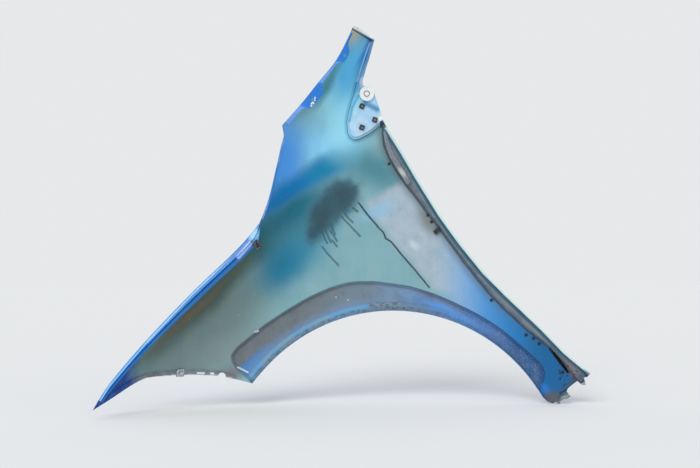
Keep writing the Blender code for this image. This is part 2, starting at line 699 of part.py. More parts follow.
def add_object(name, bm, material, collection, parent):
    """Makes a named object of a mesh, with its flat faces kept sharp."""
    mesh = bpy.data.meshes.new(name)
    bm.to_mesh(mesh)
    bm.free()
    mesh.shade_smooth()
    mesh.set_sharp_from_angle(angle=SHARP_ANGLE)
    mesh.materials.append(material)
    item = bpy.data.objects.new(name, mesh)
    collection.objects.link(item)
    item.parent = parent
    return item


def solidify(item, thickness):
    """Gives an open surface its thickness, behind its faces."""
    sheet = item.modifiers.new("sheet", "SOLIDIFY")
    sheet.thickness = thickness
    sheet.offset = -1
    sheet.use_even_offset = True


def boolean(item, cutter, operation):
    """Cuts a cutter out of an object, or joins it on."""
    cut = item.modifiers.new(cutter.name, "BOOLEAN")
    cut.operation = operation
    cut.object = cutter
    cutter.hide_render = True
    cutter.display_type = "WIRE"


def round_cutter(name, matrix, radius, depth, collection, parent):
    """A cylinder along the Z axis of a matrix, centred on its origin."""
    bm = bmesh.new()
    bmesh.ops.create_cone(
        bm, cap_ends=True, segments=CLIP_SIDES, radius1=radius, radius2=radius, depth=depth, matrix=matrix,
    )
    mesh = bpy.data.meshes.new(name)
    bm.to_mesh(mesh)
    bm.free()
    item = bpy.data.objects.new(name, mesh)
    collection.objects.link(item)
    item.parent = parent
    return item


def make_panel(parts, cutters, frame, paint):
    """The fender's pressing, with the holes in its pillar tabs and the bite in its bumper edge."""
    panel = add_object("fender_panel", folded_sheet(), paint, parts, frame)
    solidify(panel, SHEET)
    across = Matrix.Rotation(math.pi / 2, 4, "X")
    for number, (share, inset) in enumerate(zip(PILLAR_TAB_SHARES, PILLAR_TAB_INSET_SHARES), 1):
        width = table(PILLAR_FOLD_SHARES, share)
        x, z, turn = along(RUNS["upper"], share)
        first, last = PILLAR_FOLD
        middle = [blend(a, b, inset) for a, b in zip(first, last)]
        place = fold_step(x, z, turn, middle, width)
        name = f"pillar_tab_hole_{number}"
        spot = Matrix.Translation(place) @ across
        hole = round_cutter(name, spot, PILLAR_TAB_HOLE_RADIUS, 2 * OVERRUN, cutters, frame)
        boolean(panel, hole, "DIFFERENCE")
    x, z, turn = along(RUNS["bumper"], BITE_SHARE)
    place = Matrix.Translation((x, height(x, z), z)) @ across
    bite = round_cutter("bumper_edge_bite", place, BITE_RADIUS, BITE_DEPTH, cutters, frame)
    boolean(panel, bite, "DIFFERENCE")


def make_grommets(parts, frame, plastic):
    """Three square grommets in the floor of the recess, each with a blind eye."""
    for number, ((x, z), turn) in enumerate(zip(from_shares(GROMMET_SHARES), GROMMET_TURNS), 1):
        bm = bmesh.new()
        bmesh.ops.create_cube(bm, size=1)
        bmesh.ops.scale(bm, verts=bm.verts, vec=(GROMMET_SIZE, GROMMET_SIZE, GROMMET_THICKNESS))
        upright = [e for e in bm.edges if abs(e.verts[0].co.z - e.verts[1].co.z) > GROMMET_THICKNESS / 2]
        top = max(bm.faces, key=lambda f: f.calc_center_median().z)
        bottom = min(bm.faces, key=lambda f: f.calc_center_median().z)
        for face, width, rise in (
            (top, GROMMET_EYE, -GROMMET_EYE_DEPTH),
            (bottom, GROMMET_STEM, -SHEET),
        ):
            wall = (GROMMET_SIZE - width) / 2
            bmesh.ops.inset_region(bm, faces=[face], thickness=wall, use_even_offset=True)
            grown = bmesh.ops.extrude_face_region(bm, geom=[face])["geom"]
            moved = [g for g in grown if isinstance(g, bmesh.types.BMVert)]
            bmesh.ops.translate(bm, verts=moved, vec=(0, 0, rise))
            bmesh.ops.delete(bm, geom=[face], context="FACES_ONLY")
        bmesh.ops.bevel(bm, geom=upright, offset=GROMMET_CORNER, segments=2, profile=0.5, affect="EDGES")
        bmesh.ops.recalc_face_normals(bm, faces=bm.faces)
        item = add_object(f"pillar_grommet_{number}", bm, plastic, parts, frame)
        item.location = (x, RECESS_FLOOR - SEAT_GAP - GROMMET_THICKNESS / 2, z)
        item.rotation_euler = (math.pi / 2, -turn, 0)


def make_pad(parts, frame, foam):
    """The sealing pad glued along the top of the door flange."""
    centre = curved(from_shares(PAD_SHARES), EDGE_STEP)
    left = []
    right = []
    for i, (x, z) in enumerate(centre):
        share = i / (len(centre) - 1)
        turn = edge_turn(centre, share)
        half = PAD_WIDTH / 2 * table(PAD_WIDTH_SHARES, share)
        left.append((x - half * math.sin(turn), z + half * math.cos(turn)))
        right.append((x + half * math.sin(turn), z - half * math.cos(turn)))
    end = [turn + math.pi * (i / PAD_TIP_SIDES - 0.5) for i in range(1, PAD_TIP_SIDES)]
    tip = [(x + half * math.cos(a), z + half * math.sin(a)) for a in end]
    seat = -DOOR_FLANGE_RISE - SEAT_GAP
    bm = bmesh.new()
    base = bm.faces.new([bm.verts.new((px, seat, pz)) for px, pz in right + tip + left[::-1]])
    grown = bmesh.ops.extrude_face_region(bm, geom=[base])["geom"]
    moved = [g for g in grown if isinstance(g, bmesh.types.BMVert)]
    bmesh.ops.translate(bm, verts=moved, vec=(0, -PAD_THICKNESS, 0))
    bmesh.ops.recalc_face_normals(bm, faces=bm.faces)
    add_object("door_flange_seal_pad", bm, foam, parts, frame)


def make_buffer(parts, frame, rubber):
    """The small black buffer stuck to the skin beside the door flange."""
    z = BUFFER_Z_SHARE * FENDER_HEIGHT
    edge = min(x for x, pz in DOOR_FLANGE_EDGE if abs(pz - z) < EDGE_STEP)
    bm = bmesh.new()
    bmesh.ops.create_cube(bm, size=1)
    bmesh.ops.scale(bm, verts=bm.verts, vec=(BUFFER_LENGTH, BUFFER_WIDTH, BUFFER_HEIGHT))
    edges = list(bm.edges)
    bmesh.ops.bevel(bm, geom=edges, offset=BUFFER_ROUNDING, segments=2, profile=0.5, affect="EDGES")
    item = add_object("door_flange_buffer", bm, rubber, parts, frame)
    item.location = (edge - BUFFER_LENGTH / 2 - SEAT_GAP, -SEAT_GAP - BUFFER_HEIGHT / 2, z)
    item.rotation_euler = (math.pi / 2, 0, 0)


def clip_frame(edge, beside, within, thick_side):
    """A matrix whose X runs along a free edge, Y into the sheet and Z to the side its thickness is on."""
    run = (beside[1] - beside[0]).normalized()
    normal = run.cross(within - edge).normalized()
    if normal.dot(thick_side) < 0:
        normal = -normal
    into = normal.cross(run).normalized()
    if into.dot(within - edge) < 0:
        run, into = -run, -into
    matrix = Matrix((run, into, normal)).transposed().to_4x4()
    matrix.translation = edge
    return matrix


def make_clip(name, matrix, width, legs, loop, barrel, bore, barrel_height, parts, cutters, frame, steel):
    """A spring clip pushed over a free edge, with a nut barrel on its upper leg."""
    lower, upper = legs
    under = -CLIP_GAP
    over = SHEET + CLIP_GAP
    middle = (under + over) / 2
    round_part = [math.pi / 2 + math.pi * i / 6 for i in range(1, 6)]
    radius = (over - under) / 2
    profile = [(upper, over), (-loop, over)]
    profile += [(-loop + radius * math.cos(a), middle + radius * math.sin(a)) for a in round_part]
    profile += [(-loop, under), (lower, under)]
    bm = bmesh.new()
    rows = [[bm.verts.new((side * width / 2, y, z)) for y, z in profile] for side in (-1, 1)]
    for i in range(len(profile) - 1):
        bm.faces.new((rows[0][i], rows[0][i + 1], rows[1][i + 1], rows[1][i]))
    bmesh.ops.recalc_face_normals(bm, faces=bm.faces)
    bm.faces.ensure_lookup_table()
    if bm.faces[0].normal.z > 0:
        bmesh.ops.reverse_faces(bm, faces=bm.faces)
    clip = add_object(name, bm, steel, parts, frame)
    clip.matrix_local = matrix
    solidify(clip, CLIP_SHEET)
    seat = -loop / 2 if loop > barrel else upper / 2
    top = over + CLIP_SHEET
    place = matrix @ Matrix.Translation((0, seat, top + barrel_height / 2 - CLIP_SHEET / 2))
    nut = round_cutter(f"{name}_barrel", place, barrel, barrel_height, cutters, frame)
    boolean(clip, nut, "UNION")
    deep = matrix @ Matrix.Translation((0, seat, top + barrel_height / 2))
    depth = barrel_height + 2 * CLIP_SHEET + SEAT_GAP
    hole = round_cutter(f"{name}_bore", deep, bore, depth, cutters, frame)
    boolean(clip, hole, "DIFFERENCE")


def surface_point(x, z):
    """The point of the pressed sheet's inner face at a point of the side view."""
    return Vector((x, height(x, z), z))


def make_nut_clip(parts, cutters, frame, steel):
    """The nut clip pushed over the bumper flange."""
    path = RUNS["bumper"]
    half = NUT_CLIP_WIDTH / 2 / length_of(path)
    x, z, _ = along(path, NUT_CLIP_SHARE)
    edge = surface_point(x, z)
    ends = [surface_point(*along(path, NUT_CLIP_SHARE + side * half)[:2]) for side in (-1, 1)]
    inner = surface_point(*along(path, NUT_CLIP_SHARE, NUT_CLIP_SHORT_LEG)[:2])
    matrix = clip_frame(edge, ends, inner, Vector((0, 1, 0)))
    make_clip(
        "bumper_nut_clip", matrix, NUT_CLIP_WIDTH, (NUT_CLIP_LONG_LEG, NUT_CLIP_SHORT_LEG), NUT_CLIP_LOOP,
        NUT_CLIP_BARREL, NUT_CLIP_BORE, NUT_CLIP_BARREL_HEIGHT, parts, cutters, frame, steel,
    )


def make_ledge_clip(parts, cutters, frame, steel):
    """The spring clip on the inner edge of the hood ledge, at its rear end."""
    path = RUNS["hood"]
    half = LEDGE_CLIP_WIDTH / 2 / length_of(path)

    def step_at(share, step):
        x, z, _ = along(path, share)
        return fold_step(x, z, edge_turn(path, share), step, table(HOOD_LEDGE_SHARES, share))

    edge = step_at(LEDGE_CLIP_SHARE, HOOD_LEDGE[-1])
    ends = [step_at(LEDGE_CLIP_SHARE + side * half, HOOD_LEDGE[-1]) for side in (-1, 1)]
    inner = step_at(LEDGE_CLIP_SHARE, HOOD_LEDGE[-2])
    matrix = clip_frame(edge, ends, inner, Vector((0, -1, 0)))
    make_clip(
        "hood_ledge_clip", matrix, LEDGE_CLIP_WIDTH, (LEDGE_CLIP_LEG, LEDGE_CLIP_LEG), LEDGE_CLIP_LOOP,
        LEDGE_CLIP_BARREL, LEDGE_CLIP_BORE, LEDGE_CLIP_BARREL_HEIGHT, parts, cutters, frame, steel,
    )


def main():
    """Clears the scene and makes every piece."""
    for item in list(bpy.data.objects):
        bpy.data.objects.remove(item)
    parts = bpy.data.collections.new("car_fender")
    cutters = bpy.data.collections.new("car_fender_cutters")
    for collection in (parts, cutters):
        bpy.context.scene.collection.children.link(collection)
    frame = bpy.data.objects.new("wheel_centre", None)
    parts.objects.link(frame)
    drop = (BOSS_HOLE_RADIUS + BOSS_RADIUS) / 2
    frame.location = (-BOSS_X, -(RECESS_FLOOR - BOSS_RISE), -(BOSS_Z - drop))
    paint = principled("blue_paint", (0.05, 0.22, 0.55), 0.4, 0.3)
    plastic = principled("black_plastic", (0.03, 0.03, 0.035), 0.6, 0.0)
    foam = principled("grey_foam", (0.35, 0.36, 0.42), 0.9, 0.0)
    rubber = principled("black_rubber", (0.02, 0.02, 0.02), 0.8, 0.0)
    steel = principled("spring_steel", (0.35, 0.34, 0.33), 0.4, 1.0)
    make_panel(parts, cutters, frame, paint)
    make_grommets(parts, frame, plastic)
    make_pad(parts, frame, foam)
    make_buffer(parts, frame, rubber)
    make_nut_clip(parts, cutters, frame, steel)
    make_ledge_clip(parts, cutters, frame, steel)


main()
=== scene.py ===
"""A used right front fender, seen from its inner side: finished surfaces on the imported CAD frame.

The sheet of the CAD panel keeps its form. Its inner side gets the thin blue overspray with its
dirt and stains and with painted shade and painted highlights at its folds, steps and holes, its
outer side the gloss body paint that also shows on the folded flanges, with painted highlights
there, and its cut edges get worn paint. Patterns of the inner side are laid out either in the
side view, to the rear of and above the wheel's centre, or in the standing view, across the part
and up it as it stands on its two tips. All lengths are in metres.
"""

import math
import random

import bmesh
import bpy
import numpy as np
from mathutils import Matrix, Vector
from mathutils.bvhtree import BVHTree


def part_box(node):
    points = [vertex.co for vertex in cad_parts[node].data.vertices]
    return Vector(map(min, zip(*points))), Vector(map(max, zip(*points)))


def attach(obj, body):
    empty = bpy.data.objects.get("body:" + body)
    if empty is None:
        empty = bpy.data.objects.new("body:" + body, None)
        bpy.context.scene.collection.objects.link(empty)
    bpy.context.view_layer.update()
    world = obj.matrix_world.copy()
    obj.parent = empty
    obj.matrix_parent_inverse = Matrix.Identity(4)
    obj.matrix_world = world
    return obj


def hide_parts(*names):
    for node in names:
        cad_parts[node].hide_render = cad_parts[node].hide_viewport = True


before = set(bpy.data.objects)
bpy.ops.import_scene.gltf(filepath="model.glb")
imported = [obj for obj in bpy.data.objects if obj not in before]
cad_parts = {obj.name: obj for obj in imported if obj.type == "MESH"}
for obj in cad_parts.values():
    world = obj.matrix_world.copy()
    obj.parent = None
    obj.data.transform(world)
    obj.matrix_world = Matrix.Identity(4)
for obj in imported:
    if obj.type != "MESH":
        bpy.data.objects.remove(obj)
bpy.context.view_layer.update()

WHEEL = Vector((-0.43602, 0.019, -0.61477))  # middle of the wheel arch
TILT = math.radians(38.8)  # turn of the standing part against its place on the car
SHEET = 0.0008  # thickness of the sheet
ARCH_RADIUS = 0.337
BOSS = (0.436, 0.624)  # middle of the bolt hole in the side view
PIN_RADIUS = 0.0016

# A face lies on one of the two sides of the sheet where a ray from just inside it meets the other
# side between these shares of the thickness, nearly square on. The other faces are the cut rim.
START_SHARE, NEAR_SHARE, FAR_SHARE, SQUARE_ON = 0.05, 0.6, 1.4, -0.8
# A face of the outer side is folded inboard where its normal's share outboard is below this.
FOLDED_INBOARD = -0.1
CREASE = math.radians(26)
LONGEST_EDGE, SPLITS = 0.007, 4
SAME_PLACE, NO_LENGTH = 1e-5, 1e-6
CLEAR_OF_PART = 1

# Flakes of torn paint: shares of a flake's size, its sides, its range of turns and its thickness.
FLAKE_RADIUS, FLAKE_STRETCH, FLAKE_BEND, FLAKE_LIFT = (0.6, 1.2), (0.5, 1.3), (-0.15, 0.35), 0.15
FLAKE_SIDES, FLAKE_TURN, FLAKE_WALL = 7, (0, 6.3), 0.0004

# Thin dark skins in the pin holes, painted shade for the dark seen through them: reach into the
# sheet around the hole, depth as a share of the sheet, sides, thickness, and the distance at which
# the sheet beside the hole is felt.
SKIN_OVERLAP, SKIN_DEPTH, SKIN_SIDES, SKIN_WALL, BESIDE_PIN = 0.0003, 0.3, 10, 0.0003, 0.004

# The photograph's view: size of the picture, the wheel's middle in it (below its lower edge),
# metres to one dot, distance of the camera from the plane where that scale holds, the plane's
# place outboard of the wheel's middle, and the camera's sensor in millimetres.
PICTURE, WHEEL_IN_PICTURE = (700, 468), (393.5, 486)
DOT, CAMERA_DISTANCE, SCALE_PLANE, SENSOR = 0.00193, 2.6, -0.040, 36

# The stage: the floor, its distance under the lower tip, and the softness of the lamps.
FLOOR_RADIUS, FLOOR_SIDES, FLOOR_GAP = 6.0, 64, 0.0005
LAMP_SPREAD = math.radians(35)

# Lines of the pressing in the side view.
DOOR_EDGE = (
    (0.428, 0.561), (0.421, 0.498), (0.411, 0.430), (0.401, 0.349), (0.397, 0.281), (0.397, 0.210),
    (0.403, 0.149), (0.416, 0.050), (0.421, -0.011), (0.433, -0.072),
)
DOOR_FLANGE = (
    (0.421, 0.552), (0.413, 0.544), (0.400, 0.523), (0.392, 0.497), (0.388, 0.471), (0.386, 0.440),
    (0.382, 0.314), (0.379, 0.239), (0.379, 0.172), (0.383, 0.127), (0.392, 0.066), (0.404, 0.016),
    (0.406, -0.010), (0.405, -0.030), (0.403, -0.049), (0.403, -0.068),
)
WEDGE = (
    (0.404, 0.016), (0.403, 0.002), (0.401, -0.015), (0.400, -0.030), (0.402, -0.043),
    (0.403, -0.049), (0.405, -0.030), (0.406, -0.010),
)
FLARE = (
    (0.325, -0.043), (0.352, -0.030), (0.367, -0.017), (0.371, 0.000), (0.368, 0.028),
    (0.360, 0.074), (0.350, 0.115), (0.335, 0.156), (0.316, 0.197), (0.296, 0.235),
    (0.269, 0.276), (0.243, 0.304), (0.219, 0.330), (0.182, 0.358), (0.143, 0.375),
    (0.097, 0.387), (0.041, 0.395), (0.000, 0.399), (-0.031, 0.399), (-0.066, 0.399),
    (-0.086, 0.393), (-0.093, 0.381), (-0.094, 0.367), (-0.091, 0.353), (-0.089, 0.330),
    (-0.084, 0.312),
)
RECESS = (
    (0.502, 0.699), (0.475, 0.677), (0.447, 0.663), (0.415, 0.640), (0.391, 0.623), (0.373, 0.608),
    (0.360, 0.590), (0.357, 0.579), (0.360, 0.570), (0.369, 0.565), (0.392, 0.560), (0.426, 0.559),
)
HOOD = (
    (-0.317, 0.474), (-0.271, 0.492), (-0.182, 0.512), (-0.062, 0.531), (0.060, 0.543),
    (0.119, 0.555),
)
BUMPER = (
    (-0.111, 0.358), (-0.132, 0.384), (-0.171, 0.418), (-0.200, 0.442), (-0.224, 0.460),
    (-0.249, 0.467), (-0.284, 0.470), (-0.317, 0.474),
)

# Far corners that close three of these lines into loops.
BEYOND_FLANGE = ((0.403, -0.2), (0.6, -0.2), (0.6, 0.552))
BELOW_FLARE = ((-0.08, 0.0), (0.0, -0.2), (0.3, -0.2))
BEHIND_RECESS = ((0.6, 0.559), (0.6, 0.699))

# Middles of the small pin holes.
PINS = (
    (0.381, 0.365), (0.379, 0.350), (0.385, 0.491), (0.374, 0.157), (0.384, 0.062), (0.391, 0.048),
    (0.393, 0.033), (0.393, -0.038),
)

# Outlines of the dark stain and of the dusty face beside the door flange, in the side view.
STAIN = (
    (0.316, 0.496), (0.308, 0.517), (0.287, 0.534), (0.260, 0.536), (0.237, 0.529), (0.209, 0.522),
    (0.185, 0.505), (0.163, 0.478), (0.167, 0.460), (0.199, 0.459), (0.231, 0.459), (0.254, 0.465),
    (0.282, 0.463), (0.301, 0.477),
)
DUSTY = (
    (0.299, 0.469), (0.345, 0.457), (0.392, 0.450), (0.400, 0.379), (0.400, 0.266), (0.400, 0.120),
    (0.352, 0.120), (0.334, 0.174), (0.295, 0.251), (0.294, 0.318), (0.290, 0.376), (0.294, 0.431),
)

# Soft zones of the overspray in the standing view: colour, centre, half sizes, turn, softness.
ZONES = (
    ("#778d8b", (-0.361, 0.303), (0.150, 0.073), 42, 0.55),  # road dirt over the nose arm
    ("#4b5f56", (-0.352, 0.368), (0.160, 0.020), 45, 0.80),  # olive film along the hood flange
    ("#6b6453", (-0.381, 0.338), (0.075, 0.006), 45, 0.90),  # brown rust film in it
    ("#7f9393", (-0.343, 0.256), (0.087, 0.027), 15, 0.80),  # paler dirt over the bumper flange
    ("#7b8184", (-0.306, 0.222), (0.030, 0.012), 10, 0.80),  # mauve dirt at the flare's front end
    ("#2c605e", (-0.242, 0.475), (0.050, 0.039), 30, 0.70),  # dull green film behind the hood edge
    ("#437d89", (-0.188, 0.506), (0.066, 0.035), 35, 0.80),  # its thinner end towards the stain
    ("#3a87a2", (-0.190, 0.448), (0.080, 0.038), 48, 0.85),  # blue run below it
    ("#1f7d9e", (-0.216, 0.424), (0.042, 0.026), 45, 0.95),  # its full middle
    ("#8fd8ff", (-0.147, 0.661), (0.052, 0.044), 0, 0.90),  # pale blue below the arm
    ("#58a8fc", (-0.211, 0.623), (0.033, 0.080), 0, 0.80),  # bright edge below the pillar flange
    ("#007ec0", (-0.195, 0.572), (0.110, 0.018), 37, 0.75),  # deep diagonal run
    ("#007ea6", (-0.117, 0.620), (0.056, 0.021), 25, 0.75),  # its teal end
    ("#1f6f84", (-0.190, 0.535), (0.078, 0.021), 37, 0.80),  # shade under the run
    ("#4f8794", (-0.037, 0.614), (0.062, 0.029), -25, 0.80),  # teal shade under the pocket
    # The next two zones are brighter than the overspray's own tone: partly painted light, making up
    # for the arm leaning away from the light.
    ("#a6ecff", (-0.101, 0.725), (0.046, 0.070), 0, 0.80),  # pale middle of the arm
    ("#5cc0f4", (-0.082, 0.804), (0.056, 0.024), 68, 0.80),  # blue upper arm
    ("#4d97a8", (-0.124, 0.779), (0.046, 0.009), 55, 0.90),  # shade along the pillar flange
    ("#b3b8a6", (-0.078, 0.868), (0.026, 0.013), 65, 0.70),  # beige dust at the top of the arm
    ("#2286d8", (-0.050, 0.838), (0.034, 0.007), 66, 0.80),  # blue line beside it
)

# Thin runs down from the stain, and the long crack-like run, in the side view.
DRIPS = (
    ((0.200, 0.470), (0.193, 0.446)), ((0.206, 0.466), (0.200, 0.443)),
    ((0.214, 0.460), (0.211, 0.437)), ((0.222, 0.470), (0.216, 0.449)),
    ((0.204, 0.444), (0.205, 0.429)), ((0.248, 0.470), (0.252, 0.416)),
    ((0.256, 0.470), (0.258, 0.446)), ((0.276, 0.467), (0.278, 0.457)),
    ((0.181, 0.446), (0.180, 0.432)), ((0.180, 0.432), (0.183, 0.399)),
)
CRACK = (
    (0.291, 0.469), (0.290, 0.445), (0.291, 0.409), (0.292, 0.392), (0.288, 0.382), (0.292, 0.370),
    (0.293, 0.334), (0.294, 0.292), (0.295, 0.253),
)

# Materials of the sheet, in their order on the mesh.
INNER, OUTER, RIM, FOLD = 0, 1, 2, 3


# Geometry


def side_view(mesh):
    """The corners of a mesh as places to the rear of and above the wheel's centre."""
    return np.array([(v.co.x - WHEEL.x, v.co.z - WHEEL.z) for v in mesh.vertices])


def distances(points, line):
    """Distance of each point from a line through the given places."""
    best = np.full(len(points), 1e9)
    for a, b in zip(np.array(line[:-1]), np.array(line[1:])):
        along = b - a
        share = np.clip((points - a) @ along / max(along @ along, 1e-12), 0, 1)
        best = np.minimum(best, np.linalg.norm(points - a - share[:, None] * along, axis=1))
    return best


def within(points, loop):
    """Whether each point lies inside a closed loop."""
    hit = np.zeros(len(points), bool)
    x, z = points[:, 0], points[:, 1]
    for (ax, az), (bx, bz) in zip(loop, loop[1:] + loop[:1]):
        if az != bz:
            hit ^= ((az > z) != (bz > z)) & (x < ax + (z - az) * (bx - ax) / (bz - az))
    return hit


def signed(points, line, loop):
    """Distance from a line, positive inside the loop."""
    return np.where(within(points, loop), 1, -1) * distances(points, line)


def merged_mesh(node):
    """The mesh of a CAD node as a bmesh whose triangles share their corners."""
    bm = bmesh.new()
    bm.from_mesh(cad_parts[node].data)
    bmesh.ops.remove_doubles(bm, verts=bm.verts, dist=SAME_PLACE)
    bmesh.ops.dissolve_degenerate(bm, dist=NO_LENGTH, edges=bm.edges)
    bm.normal_update()
    return bm


def mark_sides(bm, tree):
    """Gives each face of the sheet its material: inner or outer side, cut rim, or the outer side
    where it is folded inboard."""
    for face in bm.faces:
        start = face.calc_center_median() - face.normal * SHEET * START_SHARE
        _, normal, _, reach = tree.ray_cast(start, -face.normal, SHEET * FAR_SHARE)
        backed = (reach is not None and reach > SHEET * NEAR_SHARE
                  and normal.dot(face.normal) < SQUARE_ON)
        face.material_index = INNER if backed else RIM
        face.tag = False
    for face in bm.faces:
        if face.tag or face.material_index == RIM:
            continue
        face.tag = True
        patch, todo = [], [face]
        while todo:
            here = todo.pop()
            patch.append(here)
            for other in (f for edge in here.edges for f in edge.link_faces):
                if not other.tag and other.material_index != RIM:
                    other.tag = True
                    todo.append(other)
        if sum(f.normal.y * f.calc_area() for f in patch) > 0:
            for here in patch:
                here.material_index = FOLD if here.normal.y < FOLDED_INBOARD else OUTER


def mark_creases(bm, sharp):
    """Shades the faces softly, with a crease along each edge that bends more than sharp."""
    for face in bm.faces:
        face.smooth = True
    for edge in bm.edges:
        edge.smooth = len(edge.link_faces) == 2 and edge.calc_face_angle(0) < sharp


def keep_normals(bm):
    """Keeps the coarse sheet's normals at its face corners, so that splitting leaves no facets."""
    mark_creases(bm, CREASE)
    coarse = bpy.data.meshes.new("coarse")
    bm.to_mesh(coarse)
    normals = np.empty(len(coarse.loops) * 3, np.float32)
    coarse.corner_normals.foreach_get("vector", normals)
    layer = bm.loops.layers.float_vector.new("kept_normal")
    corners = (loop for face in bm.faces for loop in face.loops)
    for loop, normal in zip(corners, normals.reshape(-1, 3)):
        loop[layer] = Vector(normal)
    bpy.data.meshes.remove(coarse)


def refine(bm):
    """Splits the long edges of the sheet, so that patterns kept at its corners stay fine."""
    for _ in range(SPLITS):
        long_edges = [e for e in bm.edges if e.calc_length() > LONGEST_EDGE]
        bmesh.ops.subdivide_edges(bm, edges=long_edges, cuts=1)
        bmesh.ops.triangulate(bm, faces=[f for f in bm.faces if len(f.verts) > 3])


def finish_mesh(name, bm, *materials):
    """Makes an object of a bmesh."""
    mesh = bpy.data.meshes.new(name)
    bm.to_mesh(mesh)
    bm.free()
    for material in materials:
        mesh.materials.append(material)
    if "kept_normal" in mesh.attributes:
        normals = np.empty(len(mesh.loops) * 3, np.float32)
        mesh.attributes["kept_normal"].data.foreach_get("vector", normals)
        normals = normals.reshape(-1, 3)
        normals /= np.maximum(np.linalg.norm(normals, axis=1), 1e-6)[:, None]
        mesh.attributes.remove(mesh.attributes["kept_normal"])
        mesh.normals_split_custom_set(normals.tolist())
    made = bpy.data.objects.new(name, mesh)
    bpy.context.scene.collection.objects.link(made)
    return made


def keep(obj, name, values):
    """Keeps one number at each corner of a mesh."""
    layer = obj.data.attributes.new(name, "FLOAT", "POINT")
    layer.data.foreach_set("value", np.asarray(values, np.float32))


def touch(tree, place):
    """The point of the sheet seen from inboard at a place of the side view, and its normal."""
    start = Vector((WHEEL.x + place[0], -CLEAR_OF_PART, WHEEL.z + place[1]))
    spot, normal, _, _ = tree.ray_cast(start, Vector((0, 1, 0)), 2 * CLEAR_OF_PART)
    return spot, normal


def facing(normal):
    """The turn that brings the upper side of a flat shape to a normal."""
    return normal.to_track_quat("Z", "Y").to_matrix().to_4x4()


def add_flakes(name, tree, places, size, material, seed):
    """Small bent flakes stuck to the inner side at places of the side view."""
    luck = random.Random(seed)
    bm = bmesh.new()
    for place in places:
        spot, normal = touch(tree, place)
        if spot is None:
            continue
        radius = size * luck.uniform(*FLAKE_RADIUS)
        made = bmesh.ops.create_circle(bm, cap_ends=True, radius=radius, segments=FLAKE_SIDES)
        for vert in made["verts"]:
            vert.co.x *= luck.uniform(*FLAKE_STRETCH)
            vert.co.y *= luck.uniform(*FLAKE_STRETCH)
            vert.co.z = size * luck.uniform(*FLAKE_BEND)
        turn = facing(normal) @ Matrix.Rotation(luck.uniform(*FLAKE_TURN), 4, "Z")
        put = Matrix.Translation(spot + normal * size * FLAKE_LIFT) @ turn
        bmesh.ops.transform(bm, verts=made["verts"], matrix=put)
    bmesh.ops.triangulate(bm, faces=bm.faces)
    bmesh.ops.solidify(bm, geom=list(bm.faces), thickness=FLAKE_WALL)
    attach(finish_mesh(name, bm, material), "root")


def fill_pin_holes(tree):
    """A thin dark skin in each small pin hole, as painted shade."""
    bm = bmesh.new()
    radius = PIN_RADIUS + SKIN_OVERLAP
    for across, up in PINS:
        below, above = (touch(tree, (across, up + step)) for step in (-BESIDE_PIN, BESIDE_PIN))
        if below[0] is None or above[0] is None:
            continue
        normal = (below[1] + above[1]).normalized()
        middle = (below[0] + above[0]) / 2 - normal * SHEET * SKIN_DEPTH
        made = bmesh.ops.create_circle(bm, cap_ends=True, radius=radius, segments=SKIN_SIDES)
        put = Matrix.Translation(middle) @ facing(normal)
        bmesh.ops.transform(bm, verts=made["verts"], matrix=put)
    bmesh.ops.solidify(bm, geom=list(bm.faces), thickness=SKIN_WALL)
    bmesh.ops.triangulate(bm, faces=bm.faces)
    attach(finish_mesh("pin_hole_shade_skin", bm, speckled_film("painted_pin_shade", "#14181b", "#23282a")), "root")


# Materials


def paint(code):
    """A colour from its usual six digits, in linear light."""
    parts = [int(code[i:i + 2], 16) / 255 for i in (1, 3, 5)]
    return tuple(c / 12.92 if c <= 0.04045 else ((c + 0.055) / 1.055) ** 2.4 for c in parts) + (1,)


